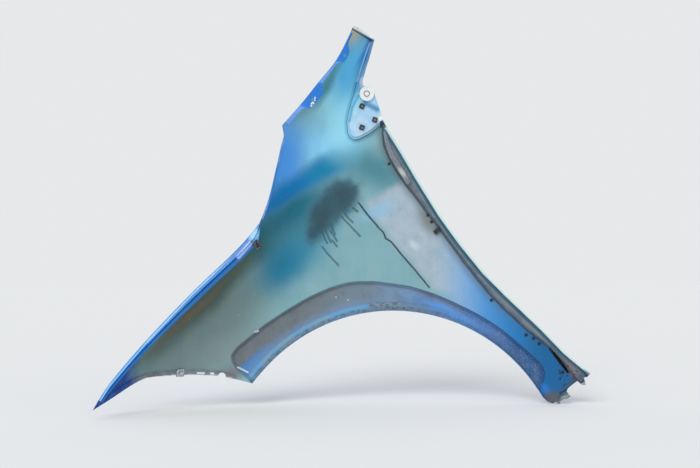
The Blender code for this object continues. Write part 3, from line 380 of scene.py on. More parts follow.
class Graph:
    """A material under construction. Its methods add nodes and return their outgoing socket.

    A place is a pair of numbers, and a node is added only after those that feed it, because the
    renderer works through plain numbers in that order and holds few of them open at a time.
    """

    def __init__(self, name):
        self.material = bpy.data.materials.new(name)
        self.material.use_nodes = True
        self.tree = self.material.node_tree
        self.tree.nodes.clear()
        self.place = self.add("TexCoord").outputs["Object"]
        parts = self.add("SeparateXYZ")
        self.put(parts.inputs[0], self.place)
        self.side = (self.plus(parts.outputs[0], -WHEEL.x), self.plus(parts.outputs[2], -WHEEL.z))
        self.standing = self.turned(self.side, (0, 0), -TILT)

    def add(self, kind):
        return self.tree.nodes.new("ShaderNode" + kind)

    def put(self, socket, value):
        if isinstance(value, bpy.types.NodeSocket):
            self.tree.links.new(value, socket)
        else:
            socket.default_value = value

    def math(self, operation, *values):
        node = self.add("Math")
        node.operation = operation
        for socket, value in zip(node.inputs, values):
            self.put(socket, value)
        return node.outputs[0]

    def times(self, *values):
        out = values[0]
        for value in values[1:]:
            out = self.math("MULTIPLY", out, value)
        return out

    def plus(self, a, b):
        return self.math("ADD", a, b)

    def length(self, a, b):
        return self.math("SQRT", self.math("MULTIPLY_ADD", b, b, self.times(a, a)))

    def turned(self, place, centre, turn, size=(1, 1)):
        """The place seen from a centre, along and across a direction, in units of the two sizes."""
        cos, sin = math.cos(turn), math.sin(turn)
        out = []
        for one, two, unit in ((cos, sin, size[0]), (-sin, cos, size[1])):
            rest = -(centre[0] * one + centre[1] * two) / unit
            first = self.math("MULTIPLY_ADD", place[0], one / unit, rest)
            out.append(self.math("MULTIPLY_ADD", place[1], two / unit, first))
        return tuple(out)

    def step(self, value, start, end):
        """0 at the start and 1 at the end, with a soft rise."""
        node = self.add("MapRange")
        node.interpolation_type = "SMOOTHSTEP"
        self.put(node.inputs["Value"], value)
        falls = start > end
        node.inputs["To Min"].default_value = 1 if falls else 0
        node.inputs["To Max"].default_value = 0 if falls else 1
        node.inputs["From Min"].default_value = min(start, end)
        node.inputs["From Max"].default_value = max(start, end)
        return node.outputs[0]

    def band(self, value, low, high, soft):
        """1 between low and high, with edges of the given softness."""
        rise = self.step(value, low - soft, low + soft)
        return self.times(rise, self.step(value, high + soft, high - soft))

    def over(self, colour, mask, code, strength=1.0, kind="MIX"):
        """The colour with a paint over it where the mask is 1."""
        share = self.times(mask, strength)
        node = self.add("Mix")
        node.data_type, node.blend_type = "RGBA", kind
        self.put(node.inputs[0], share)
        self.put(node.inputs[6], paint(colour) if isinstance(colour, str) else colour)
        self.put(node.inputs[7], paint(code) if isinstance(code, str) else code)
        return node.outputs[2]

    def noise(self, scale, detail=3.0, rough=0.55, turn=0.0, stretch=(1, 1, 1), shift=0.0):
        """Cloudy noise, mostly between 0.3 and 0.7."""
        place = self.add("Mapping")
        place.vector_type = "TEXTURE"
        self.put(place.inputs["Vector"], self.place)
        place.inputs["Location"].default_value = WHEEL - Vector((shift, shift, shift))
        place.inputs["Rotation"].default_value = (0, turn, 0)
        place.inputs["Scale"].default_value = [1 / s for s in stretch]
        node = self.add("TexNoise")
        self.put(node.inputs["Vector"], place.outputs[0])
        node.inputs["Scale"].default_value = scale
        node.inputs["Detail"].default_value = detail
        node.inputs["Roughness"].default_value = rough
        return node.outputs[0]

    def clouds(self, scale, low, high, detail=3.0, rough=0.55, **where):
        """Noise that is 0 below low and 1 above high."""
        return self.step(self.noise(scale, detail, rough, **where), low, high)

    def wavy(self, value, scale, reach, shift=0.0):
        """A number with small random steps, so that drawn edges aren't ruler straight."""
        middle = self.plus(self.noise(scale, shift=shift), -0.5)
        return self.math("MULTIPLY_ADD", middle, reach, value)

    def wobble(self, place, scale, reach):
        """A place with small random steps."""
        return self.wavy(place[0], scale, reach, 1.3), self.wavy(place[1], scale, reach, 4.7)

    def stroke(self, place, start, end, width, soft):
        """A soft straight stroke between two places."""
        run = math.dist(start, end)
        turn = math.atan2(end[1] - start[1], end[0] - start[0])
        along, across = self.turned(place, start, turn)
        past = self.math("MAXIMUM", self.plus(along, -run), self.times(along, -1))
        past = self.math("MAXIMUM", past, 0)
        return self.step(self.length(past, across), width / 2 + soft, max(width / 2 - soft, 0))

    def strokes(self, place, pairs, width, soft):
        """Several soft strokes."""
        out = 0.0
        for start, end in pairs:
            out = self.math("MAXIMUM", self.stroke(place, start, end, width, soft), out)
        return out

    def path(self, place, points, width, soft):
        """A soft stroke through several places."""
        return self.strokes(place, zip(points, points[1:]), width, soft)

    def patch(self, place, centre, size, turn, soft):
        """A soft oval patch, 1 in its middle and 0 outside, turned up by an angle in degrees."""
        reach = self.length(*self.turned(place, centre, math.radians(turn), size))
        return self.step(reach, 1 + soft, 1 - soft)

    def kept(self, name):
        """A number kept at the corners of the mesh."""
        node = self.add("Attribute")
        node.attribute_name = name
        return node.outputs["Fac"]

    def bump(self, height, distance, strength):
        node = self.add("Bump")
        node.inputs["Distance"].default_value = distance
        node.inputs["Strength"].default_value = strength
        self.put(node.inputs["Height"], height)
        return node.outputs[0]

    def set(self, **sockets):
        """Ends with a shader, its sockets set by name with _ for a space. Gives the material."""
        shader = self.add("BsdfPrincipled")
        self.tree.links.new(shader.outputs[0], self.add("OutputMaterial").inputs[0])
        for name, value in sockets.items():
            self.put(shader.inputs[name.replace("_", " ")], value)
        return self.material


def overspray():
    """The thin, dusty blue paint of the inner side, with everything that has run over it, and
    painted shade and painted highlights at its folds, steps and holes.
    """
    g = Graph("inner_side_overspray")
    loose = g.wobble(g.standing, 9, 0.030)
    across = g.standing[0]
    colour = g.over("#7ca8b0", g.clouds(11, 0.35, 0.65, 5), "#86adb4")
    for code, centre, size, turn, soft in ZONES:
        colour = g.over(colour, g.patch(loose, centre, size, turn, soft), code)
    colour = dusty_face(g, colour, across)
    colour = stains(g, colour)
    streaks = g.clouds(30, 0.50, 0.72, 4, turn=TILT, stretch=(1, 1, 0.2))
    colour = g.over(colour, streaks, "#3f7484", 0.12)
    colour = nose_tip(g, colour)
    colour = pocket(g, colour)
    colour = flare_band(g, colour, across)
    colour = door_edge(g, colour)
    colour = foot(g, colour)
    colour = g.over(colour, g.clouds(420, 0.30, 0.75), "#d2e6ee", 0.12, "OVERLAY")
    colour = g.over(colour, g.clouds(210, 0.72, 0.77, 2, shift=4.0), "#dfe6e4", 0.14)
    # Painted shade: dark rings around the small pin holes.
    colour = g.over(colour, g.step(g.kept("from_pins"), 0.0048, 0.0026), "#14181b", 0.9)
    roughness = g.plus(0.42, g.times(g.noise(45, 4, shift=2.0), 0.22))
    height = g.plus(g.noise(150, 4, 0.6), g.times(g.noise(14, 2), 3.0))
    return g.set(Base_Color=colour, Roughness=roughness, Normal=g.bump(height, 0.0006, 0.45),
                 Specular_IOR_Level=0.22, Coat_Weight=0.06, Coat_Roughness=0.30)


def dusty_face(g, colour, across):
    """The pale dusty face beside the door flange, which turns blue towards the foot."""
    inside = g.wavy(g.kept("from_dusty"), 24, 0.016)
    dust = g.over("#a9b9c4", g.clouds(26, 0.40, 0.66, 5), "#95a9b6", 0.6)
    runs = g.clouds(34, 0.52, 0.72, 4, turn=TILT, stretch=(1, 1, 0.25), shift=6.0)
    dust = g.over(dust, runs, "#acb1c0", 0.6)
    dust = g.over(dust, g.clouds(170, 0.58, 0.70, 3, shift=9.0), "#8496a6", 0.35)
    colour = g.over(colour, g.step(inside, -0.006, 0.016), dust)
    for start, end, code in ((0.072, 0.150, "#83aad4"), (0.125, 0.190, "#4f92d0"),
                             (0.165, 0.245, "#2478b6"), (0.230, 0.290, "#0f5f96")):
        colour = g.over(colour, g.step(across, start, end), code)
    brown = g.patch(g.standing, (0.067, 0.510), (0.025, 0.012), -60, 0.9)
    colour = g.over(colour, brown, "#7d7f7c", 0.8)
    pale = g.patch(g.standing, (0.041, 0.465), (0.010, 0.006), -45, 0.9)
    colour = g.over(colour, pale, "#d3e0e6", 0.6)
    rub = g.patch(g.wobble(g.standing, 60, 0.010), (-0.026, 0.532), (0.030, 0.012), 25, 0.9)
    return g.over(colour, rub, "#8fbfdf", 0.7)


def stains(g, colour):
    """The dark stain under the arm, its drips and the long crack-like run."""
    place = g.wobble(g.side, 45, 0.005)
    edge = g.wavy(g.kept("from_stain"), 55, 0.016)
    body = g.over("#365e6a", g.clouds(30, 0.36, 0.60, 4, shift=1.0), "#2d4d59")
    colour = g.over(colour, g.step(edge, -0.016, 0.010), "#3d7281", 0.60)
    colour = g.over(colour, g.step(edge, -0.004, 0.014), body, 0.85)
    colour = g.over(colour, g.step(edge, 0.008, 0.028), "#2d4853", 0.65)
    colour = g.over(colour, g.strokes(place, DRIPS, 0.0040, 0.0014), "#33545e", 0.75)
    colour = g.over(colour, g.path(place, CRACK, 0.0034, 0.0009), "#2a3942", 0.95)
    beside = g.stroke(g.side, CRACK[0], CRACK[-1], 0.010, 0.006)
    return g.over(colour, g.times(beside, g.clouds(90, 0.45, 0.65)), "#6f8c94", 0.25)


def nose_tip(g, colour):
    """The deep blue inside of the nose tip and the worn grey of the bumper flange."""
    edge = g.wavy(g.kept("from_bumper"), 70, 0.004)
    flange = g.step(edge, 0.014, 0.006)
    colour = g.over(colour, flange, g.over("#7d848a", g.clouds(60, 0.45, 0.62), "#6b6a70"), 0.7)
    worn = g.times(g.step(edge, 0.0026, 0.0012), g.clouds(90, 0.38, 0.50))
    colour = g.over(colour, worn, "#c4c9cc", 0.8)
    tip = g.step(g.wavy(g.standing[0], 26, 0.030), -0.466, -0.496)
    return g.over(colour, tip, g.over("#0b3f94", g.clouds(70, 0.45, 0.65), "#1c5cb4"), 0.95)


def pocket(g, colour):
    """The trim recess: its pale floor, the white ring on the boss with painted shade around its
    hole, a painted shade line and painted highlights along its edges, and painted shadows under the
    ring and under the corner tab.
    """
    inside = g.kept("from_recess")
    height = g.side[1]
    arm = g.step(height, 0.630, 0.650)
    colour = g.over(colour, g.times(g.step(inside, 0.001, 0.004), arm), "#76a4c8", 0.85)
    floor = g.over("#a8d0f0", g.clouds(60, 0.42, 0.66, 4), "#cbe0f0", 0.6)
    below = g.step(height, 0.624, 0.604)
    colour = g.over(colour, g.times(g.step(inside, 0.002, 0.006), below), floor, 0.9)
    wall = g.path(g.side, ((0.420, 0.631), (0.398, 0.621), (0.376, 0.604)), 0.005, 0.002)
    colour = g.over(colour, wall, "#5fa6cf", 0.8)
    shade = g.stroke(g.side, (0.422, 0.612), (0.433, 0.588), 0.010, 0.004)
    colour = g.over(colour, shade, "#3a86b2", 0.85)
    colour = g.over(colour, g.band(inside, -0.0050, -0.0014, 0.0018), "#3f92c0", 0.35)
    # Painted shade: a dark line along the recess's edge, where its wall turns from the light.
    colour = g.over(colour, g.band(inside, -0.0008, 0.0010, 0.0010), "#1c608c", 0.80)
    # Painted highlight: a light rim just inside the lower edge.
    colour = g.over(colour, g.times(g.band(inside, 0.0012, 0.0030, 0.0010), below), "#dcf0fa", 0.5)
    # Painted highlight along the ridge beside the arm's edge.
    bright = g.path(g.side, ((0.499, 0.695), (0.475, 0.680), (0.436, 0.655)), 0.0022, 0.0010)
    colour = g.over(colour, bright, "#bfe4fb", 0.75)
    colour = g.over(colour, g.stroke(g.side, BOSS, (0.446, 0.648), 0.015, 0.003), "#b9d3e8", 0.85)
    reach = g.length(*g.turned(g.side, BOSS, 0))
    ring = g.over("#f1f4f2", g.clouds(140, 0.60, 0.70), "#b9c4c6", 0.6)
    # Painted shade: a dark rim around the hole in the ring.
    ring = g.over(ring, g.step(reach, 0.0070, 0.0052), "#5a625b")
    colour = g.over(colour, g.step(reach, 0.0148, 0.0136), ring)
    corner = g.patch(g.side, (0.427, 0.570), (0.006, 0.004), 0, 0.4)
    colour = g.over(colour, corner, "#f0f4f6", 0.95)
    # Painted shadow: a dark line under the corner tab.
    dark = g.stroke(g.side, (0.424, 0.563), (0.419, 0.557), 0.006, 0.0012)
    colour = g.over(colour, dark, "#101a22", 0.95)
    return top_strip(g, colour)


def top_strip(g, colour):
    """The white return strip at the top of the arm, its white partly a painted highlight where the
    fold faces up, with a painted shadow line under it.
    """
    # Painted shadow: the dark line under the strip's free edge.
    dark = g.path(g.side, ((0.4855, 0.730), (0.4945, 0.7155), (0.5065, 0.6935)), 0.0024, 0.0008)
    colour = g.over(colour, dark, "#1b2228", 0.9)
    # The white strip, partly a painted highlight.
    place = g.wobble(g.side, 90, 0.002)
    white = g.path(place, ((0.4895, 0.7335), (0.4985, 0.7185), (0.512, 0.6965)), 0.0058, 0.0008)
    return g.over(colour, white, g.over("#f4f7f5", g.clouds(150, 0.62, 0.72), "#b4bec0"))


def flare_band(g, colour, across):
    """Road dirt in the recessed flare, a painted shade line along its edge, the lip inside its
    fold, and a painted highlight on the ridge at its front end.
    """
    kept = g.kept("from_flare")
    rear = g.step(across, -0.10, 0.10)
    band = g.step(g.wavy(kept, 70, 0.004), -0.001, 0.003)
    dirt = g.over("#6c7479", g.step(across, -0.20, -0.06), "#708390")
    for start, end, code in ((-0.06, 0.00, "#7490ac"), (0.03, 0.08, "#6a80a0"),
                             (0.105, 0.17, "#4d70a4"), (0.20, 0.25, "#305a8c")):
        dirt = g.over(dirt, g.step(across, start, end), code)
    blue = g.band(across, 0.050, 0.165, 0.060)
    blue = g.times(blue, g.step(g.wavy(kept, 60, 0.010), 0.009, 0.018))
    dirt = g.over(dirt, blue, "#4c9cec", 0.85)
    dirt = g.over(dirt, g.clouds(85, 0.42, 0.64, 5, 0.65), "#84888c", 0.22)
    dirt = g.over(dirt, g.clouds(48, 0.50, 0.66, 4, shift=8.0), "#5d5a64", 0.25)
    chipped = g.times(g.clouds(340, 0.54, 0.64, 3, shift=3.0), g.step(across, 0.03, 0.10))
    dirt = g.over(dirt, chipped, "#6fa8ec", 0.32)
    front = g.patch(g.wobble(g.standing, 40, 0.014), (-0.276, 0.232), (0.046, 0.011), 40, 0.9)
    dirt = g.over(dirt, front, "#3f86c8", 0.8)
    colour = g.over(colour, band, dirt)
    # Painted shade: a dark line along the flare's step, stronger towards the rear.
    line = g.band(kept, 0.0002, 0.0016, 0.0009)
    colour = g.over(colour, line, "#2c4152", g.plus(g.times(rear, 0.65), 0.10))
    reach = g.wavy(g.length(*g.side), 40, 0.003)
    until = g.step(across, 0.20, 0.02)
    fold = g.times(g.band(reach, ARCH_RADIUS + 0.0150, ARCH_RADIUS + 0.0165, 0.0012), until, band)
    colour = g.over(colour, fold, "#4a6074", 0.4)
    lip = g.times(g.step(reach, ARCH_RADIUS + 0.0165, ARCH_RADIUS + 0.0135), until, band)
    glow = g.step(reach, ARCH_RADIUS + 0.034, ARCH_RADIUS + 0.016)
    glow = g.times(glow, g.step(across, -0.010, -0.060), band)
    colour = g.over(colour, glow, "#6d95c0", 0.40)
    crescent = g.over("#5aa0d6", g.clouds(36, 0.46, 0.64, shift=5.0), "#74a0bc")
    colour = g.over(colour, lip, "#66798a", 0.45)
    colour = g.over(colour, g.times(lip, g.step(across, -0.030, -0.060)), crescent, 0.80)
    edge = g.step(reach, ARCH_RADIUS + 0.0095, ARCH_RADIUS + 0.0060)
    edge = g.times(edge, band, g.plus(0.35, g.times(until, 0.65)))
    colour = g.over(colour, edge, g.over("#6a7a82", g.clouds(120, 0.45, 0.62), "#3f4c55"), 0.7)
    # Painted highlight on the short ridge at the front end of the flare.
    ridge_highlight = g.stroke(g.side, (-0.090, 0.367), (-0.082, 0.347), 0.0028, 0.0008)
    colour = g.over(colour, ridge_highlight, "#d2ecfa", 0.9)
    sealer = g.stroke(g.wobble(g.side, 60, 0.006), (0.184, 0.297), (0.230, 0.263), 0.005, 0.004)
    torn = g.over("#46525e", g.clouds(150, 0.44, 0.58, 4, stretch=(0.6, 1, 1)), "#8395a4")
    return g.over(colour, sealer, torn, 0.6)


def door_edge(g, colour):
    """Layers of the door flange: a painted shadow beside it, a painted shade line under its edge,
    the grey-brown band, painted shade in the groove, and the bead painted near white as a
    highlight.
    """
    height = g.side[1]
    edge = g.wavy(g.kept("from_door"), 55, 0.0012)
    flange = g.wavy(g.kept("from_flange"), 50, 0.0030)
    near = g.step(edge, 0.075, 0.060)
    shadow = g.times(g.step(flange, -0.020, 0.0), near, g.step(height, 0.02, 0.20))
    colour = g.over(colour, shadow, "#5d6a72", 0.60)
    band = g.times(g.step(flange, -0.001, 0.002), near)
    dust = g.over("#566878", g.step(edge, 0.0120, 0.0220), "#6c7179")
    dust = g.over(dust, g.clouds(40, 0.40, 0.62, 4), "#7b838b", 0.5)
    dust = g.over(dust, g.clouds(110, 0.55, 0.68), "#8d8a84", 0.4)
    colour = g.over(colour, band, dust)
    # Painted shade: the dark line under the flange's edge.
    colour = g.over(colour, g.times(g.band(flange, -0.0026, 0.0008, 0.0014), near), "#303c46", 0.80)
    colour = g.over(colour, g.times(g.band(edge, 0.0118, 0.0136, 0.0012), band), "#979c9c", 0.35)
    # Painted shade in the groove.
    colour = g.over(colour, g.times(g.band(edge, 0.0058, 0.0108, 0.0014), band), "#3f6478", 0.85)
    # Painted highlight: the bead near white, for the light on its blue paint.
    width = g.plus(0.0034, g.times(g.step(height, 0.05, 0.45), 0.0018))
    bead = g.step(g.math("DIVIDE", edge, width), 1.15, 0.75)
    colour = g.over(colour, g.times(bead, band), "#d9fcfc")
    return g.over(colour, g.times(g.step(edge, 0.0010, 0.0003), band), "#5fa6a8", 0.35)


def foot(g, colour):
    """The painted black shadow in the wedge-shaped groove at the foot of the door flange, and the
    torn, bare and muddy bottom edge.
    """
    height = g.side[1]
    strip = g.patch(g.wobble(g.side, 60, 0.006), (0.410, -0.052), (0.009, 0.034), 0, 0.5)
    colour = g.over(colour, strip, "#6d6670", 0.8)
    # Painted shadow: black in the groove at the foot of the door flange, where only shade falls.
    wedge_shadow = g.path(g.side, ((0.403, 0.012), (0.402, -0.010), (0.401, -0.044)), 0.0046, 0.0012)
    wedge_shadow = g.math("MAXIMUM", wedge_shadow, g.step(g.kept("from_wedge"), -0.0010, 0.0004))
    colour = g.over(colour, wedge_shadow, "#06090d")
    low = g.wavy(height, 60, 0.016)
    colour = g.over(colour, g.step(low, -0.052, -0.068), "#3a5064", 0.7)
    blue = g.patch(g.wobble(g.side, 70, 0.008), (0.346, -0.042), (0.008, 0.010), 0, 0.7)
    colour = g.over(colour, blue, "#1f80dc", 0.6)
    bare = g.times(g.step(low, -0.071, -0.077), g.clouds(80, 0.42, 0.50))
    colour = g.over(colour, bare, "#9aa6a1", 0.9)
    mud = g.patch(g.wobble(g.side, 50, 0.012), (0.344, -0.066), (0.016, 0.018), 0, 0.6)
    colour = g.over(colour, mud, "#5d564f", 0.7)
    line = g.path(g.side, ((0.418, -0.074), (0.396, -0.071), (0.364, -0.066)), 0.0028, 0.0010)
    colour = g.over(colour, line, "#14181e", 0.8)
    specks = g.step(g.side[0], 0.372, 0.384)
    specks = g.times(specks, g.step(height, -0.020, -0.034), g.clouds(190, 0.58, 0.64))
    return g.over(colour, specks, "#12161b", 0.8)


def gloss(g, colour):
    """The gloss blue as it is all over: dust, fine scratches and a worn shine."""
    colour = g.over(colour, g.clouds(16, 0.48, 0.70, 5, 0.65), "#5f8aa4", 0.14)
    scratches = g.clouds(160, 0.70, 0.73, 3, stretch=(0.12, 1, 1))
    colour = g.over(colour, scratches, "#7fb0dc", 0.12)
    roughness = g.plus(0.20, g.times(g.noise(60, 4), 0.20))
    height = g.plus(g.noise(120, 2), g.times(scratches, -0.4))
    return g.set(Base_Color=colour, Roughness=roughness, Normal=g.bump(height, 0.0001, 0.3),
                 Metallic=0.05, Specular_IOR_Level=0.30, Coat_Weight=0.25, Coat_Roughness=0.10)


def flake_blue(g):
    """The body's blue with its faint flake."""
    return g.over("#146cba", g.clouds(300, 0.35, 0.70, 2), "#1a76c4")


def body_paint():
    """The gloss blue of the outer side."""
    g = Graph("outer_side_blue_gloss")
    return gloss(g, flake_blue(g))


def fold_paint():
    """The gloss blue of the outer side on the folded flanges, which face inboard, with painted
    highlights along the hood ledge and at its upper end.
    """
    g = Graph("folded_flange_blue_gloss")
    colour = flake_blue(g)
    hood = g.kept("from_hood")
    # Painted highlight along the outer edge of the hood ledge.
    bright = g.times(g.band(hood, 0.0010, 0.0034, 0.0010), g.step(g.side[0], 0.06, -0.02))
    colour = g.over(colour, bright, "#9ad8ff", 0.8)
    colour = g.over(colour, g.band(hood, 0.0078, 0.0200, 0.0010), "#0d66ac", 0.8)
    tabs = (((0.325, 0.675), (0.372, 0.688)), ((0.425, 0.698), (0.450, 0.708)))
    tabs = g.strokes(g.side, tabs, 0.030, 0.006)
    colour = g.over(colour, tabs, "#1c78d4", 0.8)
    # Painted highlight at the upper end of the hood ledge.
    ledge_end_highlight = g.patch(g.side, (0.098, 0.546), (0.014, 0.010), 40, 0.6)
    colour = g.over(colour, ledge_end_highlight, "#a4daf8", 0.7)
    bead = g.stroke(g.side, (0.080, 0.536), (0.048, 0.530), 0.0080, 0.0012)
    colour = g.over(colour, bead, "#a9c0f2", 0.8)
    rust = g.stroke(g.wobble(g.side, 120, 0.006), (-0.214, 0.462), (-0.222, 0.456), 0.008, 0.003)
    colour = g.over(colour, g.times(rust, g.clouds(180, 0.45, 0.55)), "#6d4326", 0.9)
    return gloss(g, top_strip(g, colour))


def cut_rim():
    """The sheet's cut edge: paint worn to primer and rust in places, darker along the hood ledge as
    painted shade.
    """
    g = Graph("cut_edge_worn")
    colour = g.over("#2f72ac", g.clouds(60, 0.56, 0.66, 4), "#8fb0c0")
    # Painted shade: the rim darker along the hood ledge's free edge.
    colour = g.over(colour, g.step(g.kept("from_hood"), 0.030, 0.024), "#1a5490", 0.9)
    colour = g.over(colour, g.clouds(55, 0.68, 0.74, shift=3.0), "#6b4a34")
    low = g.step(g.side[1], -0.040, -0.060)
    colour = g.over(colour, low, "#8f9894", 0.8)
    colour = top_strip(g, colour)
    return g.set(Base_Color=colour, Roughness=0.55, Normal=g.bump(g.noise(400, 2), 0.0002, 0.4))


def black_plastic(centres):
    """Dusty black plastic, paler in the middle of each grommet."""
    g = Graph("dusty_black_plastic")
    colour = g.over("#14181c", g.clouds(300, 0.45, 0.70, 4), "#4b5154", 0.5)
    for centre in centres:
        reach = g.length(*g.turned(g.side, centre, 0))
        colour = g.over(colour, g.step(g.wavy(reach, 200, 0.002), 0.0032, 0.0016), "#8d90a6", 0.9)
    return g.set(Base_Color=colour, Roughness=0.5, Normal=g.bump(g.noise(700), 0.0002, 0.5))


def grey_foam():
    """The soft grey sealing pad, with a pale rubbed spot near its lower end."""
    g = Graph("grey_sealing_foam")
    cells = g.noise(420, 4, 0.7)
    colour = g.over("#6f7780", g.step(cells, 0.30, 0.70), "#868e98")
    colour = g.over(colour, g.clouds(60, 0.58, 0.72), "#5a6066", 0.5)
    spot = g.patch(g.side, (0.394, 0.462), (0.004, 0.010), 0, 0.7)
    colour = g.over(colour, spot, "#c6ccc8", 0.8)
    return g.set(Base_Color=colour, Roughness=0.9, Normal=g.bump(cells, 0.0006, 0.6))


def plated_steel(name, bright, dull):
    """Plated spring steel with dull spots."""
    g = Graph(name)
    colour = g.over(bright, g.clouds(260, 0.42, 0.62, 4), dull)
    rough = g.plus(0.25, g.times(g.noise(150), 0.3))
    return g.set(Base_Color=colour, Metallic=0.6, Roughness=rough,
                 Normal=g.bump(g.noise(500), 0.0002, 0.5))


def speckled_film(name, pale, dark):
    """A speckled matte film: torn paint, and the dark painted shade in the pin holes."""
    g = Graph(name)
    colour = g.over(pale, g.clouds(400, 0.40, 0.60), dark)
    return g.set(Base_Color=colour, Roughness=0.7, Normal=g.bump(g.noise(600), 0.0003, 0.6))


# Pieces


def make_panel():
    """The pressed sheet with its four surfaces, and its distances from the pressing's lines."""
    bm = merged_mesh("fender_panel")
    tree = BVHTree.FromBMesh(bm)
    mark_sides(bm, tree)
    keep_normals(bm)
    refine(bm)
    panel = finish_mesh("fender_pressing", bm, overspray(), body_paint(), cut_rim(), fold_paint())
    places = side_view(panel.data)
    patterns = {
        "from_door": distances(places, DOOR_EDGE),
        "from_flange": signed(places, DOOR_FLANGE, DOOR_FLANGE + BEYOND_FLANGE),
        "from_flare": signed(places, FLARE, FLARE + BELOW_FLARE),
        "from_recess": signed(places, RECESS, RECESS + BEHIND_RECESS),
        "from_hood": distances(places, HOOD),
        "from_bumper": distances(places, BUMPER),
        "from_pins": np.min([distances(places, (pin, pin)) for pin in PINS], axis=0),
        "from_stain": signed(places, STAIN + STAIN[:1], STAIN),
        "from_dusty": signed(places, DUSTY + DUSTY[:1], DUSTY),
        "from_wedge": signed(places, WEDGE + WEDGE[:1], WEDGE),
    }
    for name, values in patterns.items():
        keep(panel, name, values)
    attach(panel, "root")
    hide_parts("fender_panel")
    return panel, tree


def scatter(start, end, count, spread, seed):
    """Places strewn about a line of the side view."""
    luck = random.Random(seed)
    shares = [(i + luck.random()) / count for i in range(count)]
    return [
        (start[0] + (end[0] - start[0]) * s + luck.uniform(-spread, spread),
         start[1] + (end[1] - start[1]) * s + luck.uniform(-spread, spread))
        for s in shares
    ]


def make_torn_bits(tree):
    """Crumbs of paint at the torn tab and at the foot, and white nicks."""
    pale = speckled_film("pale_torn_paint", "#eef3f6", "#cbd3d8")
    crumbs = scatter((0.332, 0.668), (0.352, 0.674), 12, 0.0024, 3)
    add_flakes("tab_paint_crumbs", tree, crumbs, 0.0017, pale, 5)
    add_flakes("white_nicks", tree, [(-0.021, 0.399), (-0.018, 0.3975)], 0.0042, pale, 11)
    add_flakes("small_nicks", tree, [(0.155, 0.333), (0.140, 0.352)], 0.0016, pale, 19)
    tail = scatter((0.350, -0.076), (0.374, -0.078), 10, 0.0024, 21)
    dirty = speckled_film("dirty_torn_paint", "#a7b0aa", "#6d746c")
    add_flakes("foot_torn_bits", tree, tail, 0.0030, dirty, 17)


def finish_small_nodes():
    """Materials of the small pieces, which keep their CAD form."""
    middles = []
    grommets = ["pillar_grommet_%d" % number for number in (1, 2, 3)]
    for name in grommets:
        low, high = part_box(name)
        middles.append(((low[0] + high[0]) / 2 - WHEEL.x, (low[2] + high[2]) / 2 - WHEEL.z))
    plastic = black_plastic(middles)
    finishes = {
        **{name: (plastic, "black_plastic") for name in grommets},
        "door_flange_seal_pad": (grey_foam(), "grey_foam"),
        "door_flange_buffer": (plastic, "black_rubber"),
        "bumper_nut_clip": (plated_steel("pale_nut_clip", "#b9c2c6", "#7d878b"), "spring_steel"),
        "hood_ledge_clip": (plated_steel("dark_ledge_clip", "#565c60", "#1e2224"), "spring_steel"),
    }
    for node, (material, slot) in finishes.items():
        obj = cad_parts[node]
        obj.data.materials.clear()
        obj.data.materials.append(material)


# Stage


def make_floor(up, lowest):
    """A pale floor under the two tips, clear to a camera below it."""
    bm = bmesh.new()
    bmesh.ops.create_circle(bm, cap_ends=True, radius=FLOOR_RADIUS, segments=FLOOR_SIDES)
    bm.transform(Matrix.Translation(lowest) @ facing(up))
    material = bpy.data.materials.new("pale_floor")
    material.use_nodes = True
    tree = material.node_tree
    tree.nodes.clear()
    diffuse = tree.nodes.new("ShaderNodeBsdfDiffuse")
    diffuse.inputs[0].default_value = (0.92, 0.925, 0.93, 1)
    clear = tree.nodes.new("ShaderNodeBsdfTransparent")
    side = tree.nodes.new("ShaderNodeNewGeometry")
    both = tree.nodes.new("ShaderNodeMixShader")
    out = tree.nodes.new("ShaderNodeOutputMaterial")
    tree.links.new(side.outputs["Backfacing"], both.inputs[0])
    tree.links.new(diffuse.outputs[0], both.inputs[1])
    tree.links.new(clear.outputs[0], both.inputs[2])
    tree.links.new(both.outputs[0], out.inputs[0])
    finish_mesh("floor", bm, material)


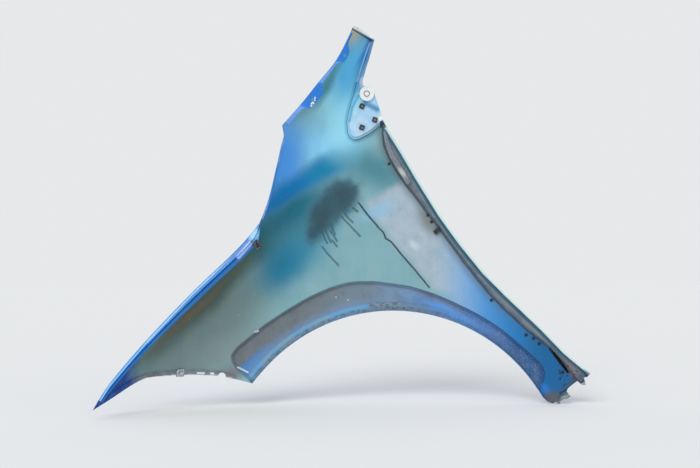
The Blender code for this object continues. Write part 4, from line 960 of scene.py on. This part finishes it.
def make_light(camera):
    """Soft light from above left in front, a weaker one behind, and an even pale room."""
    # Name, strength, tip and turn in degrees.
    suns = (("key", 1.35, -36, 24), ("back", 1.1, 140, 20))
    for name, energy, tip, turn in suns:
        light = bpy.data.objects.new(name, bpy.data.lights.new(name, "SUN"))
        light.data.energy = energy
        light.data.angle = LAMP_SPREAD
        bpy.context.scene.collection.objects.link(light)
        light.matrix_world = (camera.matrix_world @ Matrix.Rotation(math.radians(-turn), 4, "Y")
                              @ Matrix.Rotation(math.radians(tip), 4, "X"))
    world = bpy.data.worlds.new("studio")
    bpy.context.scene.world = world
    world.use_nodes = True
    tree = world.node_tree
    tree.nodes.clear()
    seen = tree.nodes.new("ShaderNodeBackground")
    seen.inputs[0].default_value = (0.80, 0.81, 0.82, 1)
    fill = tree.nodes.new("ShaderNodeBackground")
    fill.inputs[0].default_value = (0.96, 0.98, 1.0, 1)
    fill.inputs[1].default_value = 0.64
    rays = tree.nodes.new("ShaderNodeLightPath")
    share = rays.outputs["Is Camera Ray"]
    for kind in ("Is Glossy Ray", "Is Transmission Ray"):
        either = tree.nodes.new("ShaderNodeMath")
        either.operation, either.use_clamp = "ADD", True
        tree.links.new(share, either.inputs[0])
        tree.links.new(rays.outputs[kind], either.inputs[1])
        share = either.outputs[0]
    both = tree.nodes.new("ShaderNodeMixShader")
    out = tree.nodes.new("ShaderNodeOutputWorld")
    tree.links.new(share, both.inputs[0])
    tree.links.new(fill.outputs[0], both.inputs[1])
    tree.links.new(seen.outputs[0], both.inputs[2])
    tree.links.new(both.outputs[0], out.inputs[0])


def make_camera():
    """The photograph's view: square on to the inner side, with the part standing on its tips."""
    across, down = ((whole / 2 - wheel) * DOT for whole, wheel in zip(PICTURE, WHEEL_IN_PICTURE))
    x = across * math.cos(TILT) - down * math.sin(TILT)
    z = -(across * math.sin(TILT) + down * math.cos(TILT))
    camera = bpy.data.objects.new("photo_camera", bpy.data.cameras.new("photo_camera"))
    bpy.context.scene.collection.objects.link(camera)
    camera.data.sensor_width = SENSOR
    camera.data.lens = SENSOR * CAMERA_DISTANCE / (PICTURE[0] * DOT)
    camera.matrix_world = (
        Matrix.Translation(WHEEL + Vector((x, SCALE_PLANE - CAMERA_DISTANCE, z)))
        @ Matrix.Rotation(TILT, 4, "Y") @ Matrix.Rotation(math.pi / 2, 4, "X")
    )
    bpy.context.scene.camera = camera
    return camera


panel, sheet = make_panel()
make_torn_bits(sheet)
fill_pin_holes(sheet)
finish_small_nodes()
upward = Vector((math.sin(TILT), 0, math.cos(TILT)))
lowest = min((v.co for v in panel.data.vertices), key=lambda co: co.dot(upward))
make_floor(upward, lowest - upward * FLOOR_GAP)
make_light(make_camera())
bpy.context.scene.view_settings.view_transform = "Standard"
